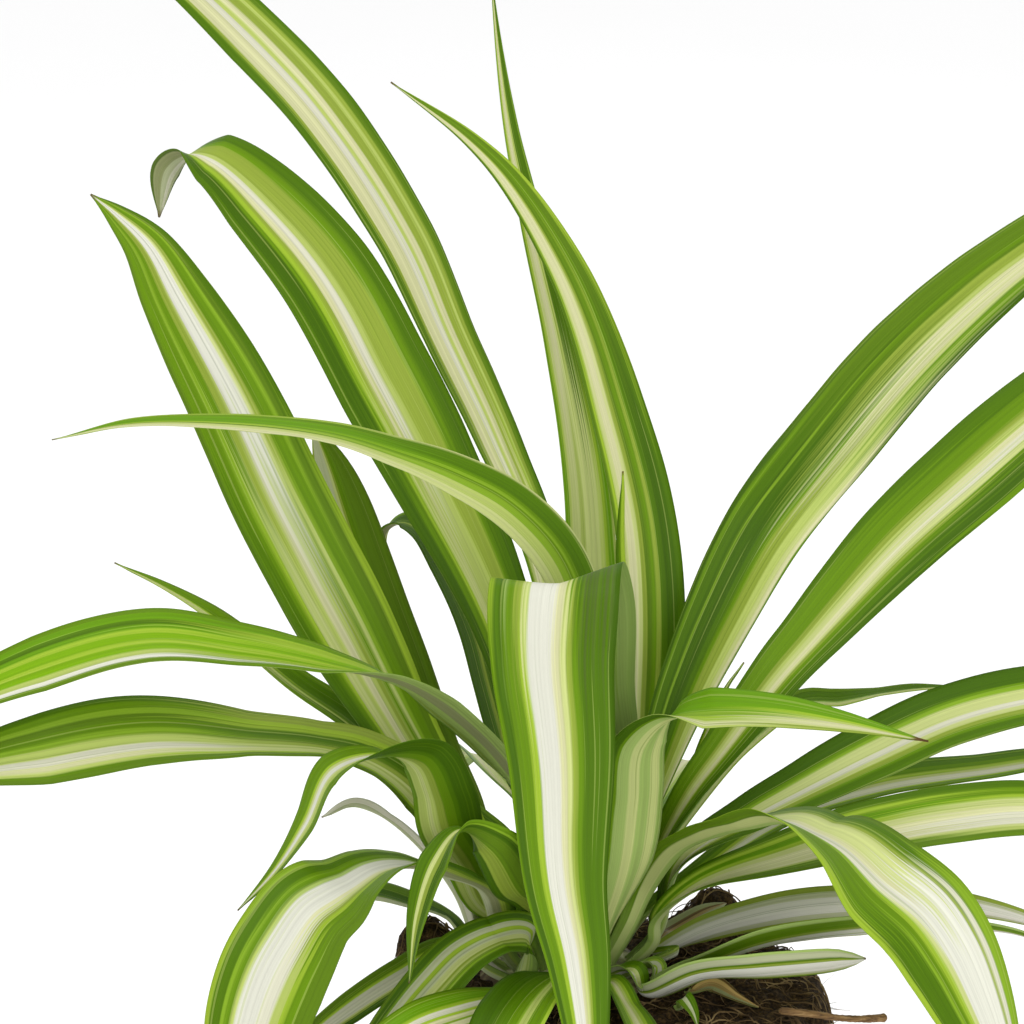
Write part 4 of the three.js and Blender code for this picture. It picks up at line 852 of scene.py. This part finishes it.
def compost_piece():
    """The root ball: the same form as its solid with a crumbly, fibrous surface."""
    sides, rings = 300, 84
    inside = POT_RIM_RADIUS - POT_WALL - CLEARANCE
    points, faces = [(0.0, 0.0, float(compost_height(0, 0)))], []
    profile = []
    for ring in range(1, rings + 1):
        profile.append((BALL_RADIUS * ring / rings, None))
    edge = POT_HEIGHT + 1.5
    for share in np.linspace(0.15, 1, 12):
        profile.append((BALL_RADIUS + share * (inside - 1.2 - BALL_RADIUS), share))
    for height in (POT_HEIGHT - 3, POT_HEIGHT - 10):
        profile.append((inside - 0.4, -height))
    for radius, height in profile:
        for i in range(sides):
            angle = 2 * math.pi * i / sides
            c, s = math.cos(angle), math.sin(angle)
            wobble = 0.8 * math.sin(3 * angle + 1) + 0.6 * math.sin(7 * angle)
            reach = radius + wobble * min(radius / BALL_RADIUS, 1) ** 6 * (height is None)
            x, y = reach * c, reach * s
            if height is None:
                z = float(compost_height(x, y))
            elif height > 0:
                top = float(compost_height(BALL_RADIUS * c, BALL_RADIUS * s))
                z = top + (edge - top) * height
            else:
                z = -height
            if height is None or height > 0:
                near = max(0.0, 1 - math.hypot(x - CROWN_X, y - CROWN_Y) / (CROWN_RADIUS + 2))
                depth = 1.5 * rough(x, y, z, 0.16, 3) + 0.8 * rough(x, y, z, 0.5, 11)
                depth += 0.45 * rough(x, y, z, 1.3, 23)
                depth *= 1 - 0.8 * min(near * 8, 1)
                lean = min(radius / BALL_RADIUS, 1) ** 8
                x += c * depth * lean * 0.8
                y += s * depth * lean * 0.8
                z += depth * (1 - 0.6 * lean)
            points.append((x, y, z))
    at = lambda loop, i: 1 + loop * sides + i % sides
    for i in range(sides):
        faces.append((0, at(0, i), at(0, i + 1)))
        for loop in range(len(profile) - 1):
            faces.append((at(loop, i), at(loop + 1, i), at(loop + 1, i + 1), at(loop, i + 1)))
    bottom = len(points)
    points.append((0.0, 0.0, POT_HEIGHT - 10))
    last = len(profile) - 1
    for i in range(sides):
        faces.append((bottom, at(last, i + 1), at(last, i)))
    piece = new_object("compost", points, faces)
    dress(piece, "root_ball", soil_material())


def soil_material():
    k = Nodes("peat")
    place = k.add("ShaderNodeTexCoord").outputs["Object"]
    crumbs = k.noise(place, 900, 4.0, 0.7)
    clumps = k.noise(place, 160, 3.0, 0.6)
    cell = k.add("ShaderNodeTexVoronoi", {"Vector": place, "Scale": 420.0}).outputs["Distance"]
    base = k.ramp(crumbs, [(0.25, colour(16, 11, 4)), (0.45, colour(44, 31, 14)),
                           (0.58, colour(78, 60, 32)), (0.75, colour(124, 98, 58))])
    base = k.mix(k.band(clumps, 0.35, 0.65), k.mix(0.45, base, colour(14, 9, 4)), base)
    height = k.plus(k.times(crumbs, 0.7), k.times(cell, 0.6))
    return k.done(base, 0.95, k.bump(height, 0.9, 0.0012), 0.15)


def tube(points, radii, sides):
    """Closed tube along the points: vertices and faces."""
    points = np.asarray(points, float)
    forward = unit(np.gradient(points, axis=0))
    helper = np.array([0.3, 0.2, 1.0])
    verts, faces = [], []
    for place, way, radius in zip(points, forward, radii):
        one = unit(np.cross(way, helper))
        two = np.cross(way, one)
        for i in range(sides):
            angle = 2 * math.pi * i / sides
            verts.append(place + radius * (math.cos(angle) * one + math.sin(angle) * two))
    for k in range(len(points) - 1):
        for i in range(sides):
            j = (i + 1) % sides
            a, b = k * sides, (k + 1) * sides
            faces.append((a + i, a + j, b + j, b + i))
    faces.append(tuple(reversed(range(sides))))
    faces.append(tuple(range(len(verts) - sides, len(verts))))
    return verts, faces


LYING_FIBRES = 420
LOOSE_FIBRES = 150


def root_fibres():
    """Fine roots that lie on the compost or stand out of its flank."""
    draw = random.Random(41)
    verts, faces = [], []

    def add(points, radii):
        more, more_faces = tube(points, radii, 5)
        base = len(verts)
        verts.extend(more)
        faces.extend(tuple(base + i for i in face) for face in more_faces)

    limit = BALL_RADIUS + 1.5
    for _ in range(LYING_FIBRES):
        angle = draw.uniform(0, 2 * math.pi)
        radius = math.sqrt(draw.uniform(0.16, 1.0)) * (BALL_RADIUS + 0.5)
        x, y = radius * math.cos(angle), radius * math.sin(angle)
        way = draw.uniform(0, 2 * math.pi)
        step = draw.uniform(0.8, 1.7)
        path = []
        lift = draw.uniform(0.1, 1.0)
        count = draw.randint(6, 13)
        for i in range(count):
            reach = math.hypot(x, y)
            if reach > limit:
                x, y = x * limit / reach, y * limit / reach
            arch = lift * math.sin(math.pi * i / (count - 1)) * 1.4
            path.append((x, y, float(compost_height(x, y)) + 0.2 + arch))
            way += draw.uniform(-0.5, 0.5)
            x += step * math.cos(way)
            y += step * math.sin(way)
        inner = min(math.hypot(p[0] - CROWN_X, p[1] - CROWN_Y) for p in path)
        if inner < CROWN_RADIUS:
            continue
        thick = draw.uniform(0.10, 0.26)
        add(path, [thick * (0.5 + 0.5 * math.sin(math.pi * (i + 0.6) / (count + 0.2)))
                   for i in range(count)])
    for _ in range(LOOSE_FIBRES):
        angle = draw.uniform(0, 2 * math.pi)
        base = np.array([BALL_RADIUS * math.cos(angle), BALL_RADIUS * math.sin(angle), 0.0])
        base[2] = draw.uniform(103, 117)
        out = unit(np.array([math.cos(angle + draw.uniform(-0.9, 0.9)),
                             math.sin(angle + draw.uniform(-0.9, 0.9)),
                             draw.uniform(-0.5, 0.7)]))
        length = draw.uniform(2.0, 6.5)
        bend = np.array([draw.uniform(-1, 1), draw.uniform(-1, 1), draw.uniform(-1.2, 0.6)])
        path = [base + out * length * t + bend * length * 0.35 * t * t
                for t in np.linspace(-0.25, 1, 8)]
        thick = draw.uniform(0.08, 0.17)
        add(path, [thick * (1 - 0.75 * t) for t in np.linspace(0, 1, 8)])
    piece = new_object("root_fibres", verts, faces)
    k = Nodes("fibres")
    place = k.add("ShaderNodeTexCoord").outputs["Object"]
    tone = k.noise(place, 120, 2.0)
    piece.data.materials.append(k.done(
        k.ramp(tone, [(0.3, colour(52, 38, 20)), (0.5, colour(98, 78, 46)),
                      (0.7, colour(152, 130, 88))]), 0.85,
        k.bump(k.noise(place, 2400, 2.0), 0.4, 0.0003), 0.2))
    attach(piece, "root")


# ---------------------------------------------------------------- crown
def crown_piece():
    """Packed, overlapping leaf bases: a low cone with ragged sheaths."""
    sides, rings = 180, 40
    points, faces = [], []
    for ring in range(rings + 1):
        share = ring / rings
        radius = CROWN_RADIUS * share
        for i in range(sides):
            angle = 2 * math.pi * i / sides
            x, y = CROWN_X + radius * math.cos(angle), CROWN_Y + radius * math.sin(angle)
            z = CROWN_PEAK - CROWN_SLOPE * radius - CLEARANCE
            spiral = angle * 5 + radius * 0.55
            sheath = 0.35 * abs(math.sin(spiral)) + 0.5 * rough(x, y, z, 0.35, 5)
            z += sheath - 0.55 - 1.6 * float(smoothstep((share - 0.86) / 0.14))
            points.append((x, y, z))
    low = CROWN_PEAK - CROWN_SLOPE * CROWN_RADIUS - 11
    for i in range(sides):
        angle = 2 * math.pi * i / sides
        points.append((CROWN_X + CROWN_RADIUS * math.cos(angle),
                       CROWN_Y + CROWN_RADIUS * math.sin(angle), low))
    loops = rings + 2
    for loop in range(loops - 1):
        for i in range(sides):
            j = (i + 1) % sides
            a, b = loop * sides, (loop + 1) * sides
            if loop == 0:
                faces.append((a, b + i, b + j))
            else:
                faces.append((a + i, b + i, b + j, a + j))
    faces.append(tuple(reversed(range(len(points) - sides, len(points)))))
    kept = sorted({v for face in faces for v in face})
    index = {old: new for new, old in enumerate(kept)}
    points = [points[old] for old in kept]
    faces = [tuple(index[v] for v in face) for face in faces]
    piece = new_object("leaf_bases", points, faces)
    k = Nodes("sheaths")
    place = k.add("ShaderNodeTexCoord").outputs["Object"]
    tone = k.noise(place, 260, 3.0)
    height = k.add("ShaderNodeSeparateXYZ", {"Vector": place}).outputs["Z"]
    pale = k.ramp(tone, [(0.3, colour(108, 118, 62)), (0.5, colour(158, 168, 110)),
                         (0.7, colour(190, 192, 148))])
    husk = k.ramp(tone, [(0.3, colour(52, 38, 22)), (0.6, colour(104, 82, 48))])
    share = k.math("ADD", k.band(height, 0.1245, 0.1300), k.band(tone, 0.3, 0.7, -0.5, 0.5),
                   clamp=True)
    dress(piece, "crown",
          k.done(k.mix(share, husk, pale), 0.7, k.bump(tone, 0.6, 0.0006), 0.3))


# ---------------------------------------------------------------- pot
def turned(name, profile, sides=160):
    """A solid of revolution about the Z axis from (radius, height) pairs."""
    points, faces, loops = [], [], []
    for radius, height in profile:
        if radius == 0:
            loops.append([len(points)])
            points.append((0.0, 0.0, height))
            continue
        loops.append(list(range(len(points), len(points) + sides)))
        for i in range(sides):
            angle = 2 * math.pi * i / sides
            points.append((radius * math.cos(angle), radius * math.sin(angle), height))
    for first, second in zip(loops, loops[1:]):
        for i in range(sides):
            j = (i + 1) % sides
            corners = [first[i % len(first)], first[j % len(first)],
                       second[j % len(second)], second[i % len(second)]]
            faces.append(tuple(dict.fromkeys(corners)))
    return new_object(name, points, faces)


def rounded(corners, radii, steps=5):
    """The corners of a profile, each rounded by its radius."""
    out = []
    for i, (corner, radius) in enumerate(zip(corners, radii)):
        if radius == 0:
            out.append(corner)
            continue
        here = np.array(corner, float)
        before, after = np.array(corners[i - 1], float), np.array(corners[i + 1], float)
        a = here + unit(before - here) * radius
        b = here + unit(after - here) * radius
        for t in np.linspace(0, 1, steps + 1):
            out.append(tuple((1 - t) ** 2 * a + 2 * t * (1 - t) * here + t * t * b))
    return out


def pot_piece():
    inside = POT_RIM_RADIUS - POT_WALL
    band_foot = POT_HEIGHT - POT_RIM_HEIGHT
    wall_top = POT_RIM_RADIUS - POT_BAND_STEP
    corners = [(0, 0), (POT_FOOT_RADIUS, 0), (wall_top, band_foot),
               (POT_RIM_RADIUS, band_foot), (POT_RIM_RADIUS, POT_HEIGHT),
               (inside, POT_HEIGHT), (inside, band_foot + POT_WALL),
               (wall_top - POT_WALL, band_foot), (POT_FOOT_RADIUS - POT_WALL, POT_FLOOR),
               (0, POT_FLOOR)]
    radii = [0, 1.6, 1.0, 1.3, 1.8, 1.8, 1.5, 1.5, 2, 0]
    profile = rounded(corners, radii)
    dense = [profile[0]]
    for (r0, z0), (r1, z1) in zip(profile, profile[1:]):
        count = max(1, int(math.hypot(r1 - r0, z1 - z0) / 4))
        dense += [(r0 + (r1 - r0) * i / count, z0 + (z1 - z0) * i / count)
                  for i in range(1, count + 1)]
    piece = turned("clay_pot", dense)
    for i in range(DRAIN_HOLES):
        angle = (i + 0.5) / DRAIN_HOLES * 2 * math.pi
        bpy.ops.mesh.primitive_cylinder_add(
            vertices=48, radius=DRAIN_RADIUS * MM, depth=4 * POT_FLOOR * MM,
            location=(DRAIN_RING * MM * math.cos(angle), DRAIN_RING * MM * math.sin(angle), 0))
        drill = bpy.context.object
        cut = piece.modifiers.new("drain", "BOOLEAN")
        cut.operation, cut.object = "DIFFERENCE", drill
        bpy.context.view_layer.objects.active = piece
        bpy.ops.object.modifier_apply(modifier=cut.name)
        bpy.data.objects.remove(drill)
    k = Nodes("terracotta")
    place = k.add("ShaderNodeTexCoord").outputs["Object"]
    height = k.add("ShaderNodeSeparateXYZ", {"Vector": place}).outputs["Z"]
    grain = k.noise(place, 1400, 3.0)
    cloud = k.noise(place, 38, 3.0)
    turning = k.noise(k.vector(0.0, 0.0, k.times(height, 900.0)), 1.0, 2.0)
    clay = k.ramp(cloud, [(0.3, colour(160, 88, 56)), (0.5, colour(182, 104, 70)),
                          (0.72, colour(200, 128, 94))])
    stains = k.band(k.noise(place, 60, 4.0, 0.6), 0.52, 0.7)
    bloom = k.times(stains, k.band(height, 0.10, 0.05, 0.0, 0.35))
    clay = k.mix(bloom, clay, colour(220, 196, 172))
    clay = k.mix(k.band(grain, 0.62, 0.75, 0.0, 0.35), clay, colour(120, 62, 40))
    normal = k.bump(turning, 0.25, 0.0004, k.bump(grain, 0.35, 0.0003))
    dress(piece, "pot", k.done(clay, 0.88, normal, 0.2))


# ---------------------------------------------------------------- twig
TWIG = [(39.5, -25, 123.2, 0.9), (47, -24, 122.1, 0.9), (53, -23, 120.8, 0.8),
        (59, -22, 120.1, 0.8), (65, -20, 119.7, 1.1)]


def twig_piece():
    draw = random.Random(5)
    line = catmull([p[:3] for p in TWIG], 12)
    radii = np.interp(np.arange(len(line)), np.arange(len(TWIG)) * 12, [p[3] for p in TWIG])
    radii = [r * (0.92 + 0.16 * draw.random()) for r in radii]
    radii[0] *= 0.5
    radii[-1] *= 0.6
    verts, faces = tube(line, radii, 10)
    piece = new_object("dry_twig", verts, faces)
    k = Nodes("bark")
    place = k.add("ShaderNodeTexCoord").outputs["Object"]
    grain = k.noise(k.add("ShaderNodeMapping", {
        "Vector": place, "Scale": (120, 1500, 1500)}).outputs[0], 1.0, 3.0)
    bark = k.ramp(grain, [(0.3, colour(84, 60, 34)), (0.55, colour(140, 108, 66)),
                          (0.75, colour(176, 146, 98))])
    dress(piece, "twig", k.done(bark, 0.8, k.bump(grain, 0.6, 0.0004), 0.3))


# ---------------------------------------------------------------- stage
PHOTO_SIDE = 1024
FOCAL_PIXELS = 4945.0
SENSOR = 36.0
CAMERA_AT = (-22.8, -1113.9, 523.0)
CAMERA_TILT = 75.6  # degrees from straight down


def camera():
    data = bpy.data.cameras.new("camera")
    data.sensor_width = SENSOR
    data.lens = FOCAL_PIXELS / PHOTO_SIDE * SENSOR
    data.clip_end = 30
    view = bpy.data.objects.new("camera", data)
    view.location = Vector(CAMERA_AT) * MM
    view.rotation_euler = (math.radians(CAMERA_TILT), 0, 0)
    bpy.context.scene.collection.objects.link(view)
    bpy.context.scene.camera = view


def softbox(name, place, aim, size, power):
    data = bpy.data.lights.new(name, "AREA")
    data.shape = "RECTANGLE"
    data.size, data.size_y = size
    data.energy = power
    lamp = bpy.data.objects.new(name, data)
    lamp.location = place
    lamp.rotation_euler = (Vector(aim) - Vector(place)).to_track_quat("-Z", "Y").to_euler()
    bpy.context.scene.collection.objects.link(lamp)


def stage():
    world = bpy.data.worlds.new("studio")
    world.use_nodes = True
    world.node_tree.nodes["Background"].inputs[0].default_value = (1, 1, 1, 1)
    world.node_tree.nodes["Background"].inputs[1].default_value = 1.0
    bpy.context.scene.world = world
    bpy.ops.mesh.primitive_plane_add(size=16, location=(0, 3, 0))
    floor = bpy.context.object
    floor.name = "floor"
    k = Nodes("floor_pale")
    place = k.add("ShaderNodeTexCoord").outputs["Object"]
    tone = k.noise(place, 2.0)
    floor.data.materials.append(
        k.done(k.ramp(tone, [(0.0, (0.92, 0.92, 0.92, 1)), (1.0, (0.95, 0.95, 0.95, 1))]), 0.9,
               None, 0.1))
    softbox("key", (-0.5, -1.1, 1.5), (0, 0, 0.2), (1.1, 1.1), 11)
    softbox("fill", (0.5, -1.3, 0.4), (0, 0, 0.14), (1.0, 0.7), 4.5)
    softbox("top", (0.0, 0.5, 1.7), (0, 0, 0.2), (1.2, 1.2), 5)
    bpy.context.scene.view_settings.view_transform = "Standard"


# ---------------------------------------------------------------- assembly
def build():
    for seed, (name, leaf) in enumerate(LEAVES.items()):
        look = LOOKS.get(name, LOOKS["plain"])
        material = leaf_material("blade_" + name, look, seed * 1.37 + 0.5)
        leaf_piece(name, leaf, material, seed)
    crown_piece()
    compost_piece()
    root_fibres()
    pot_piece()
    twig_piece()
    stage()
    camera()


build()
bpy.context.view_layer.update()
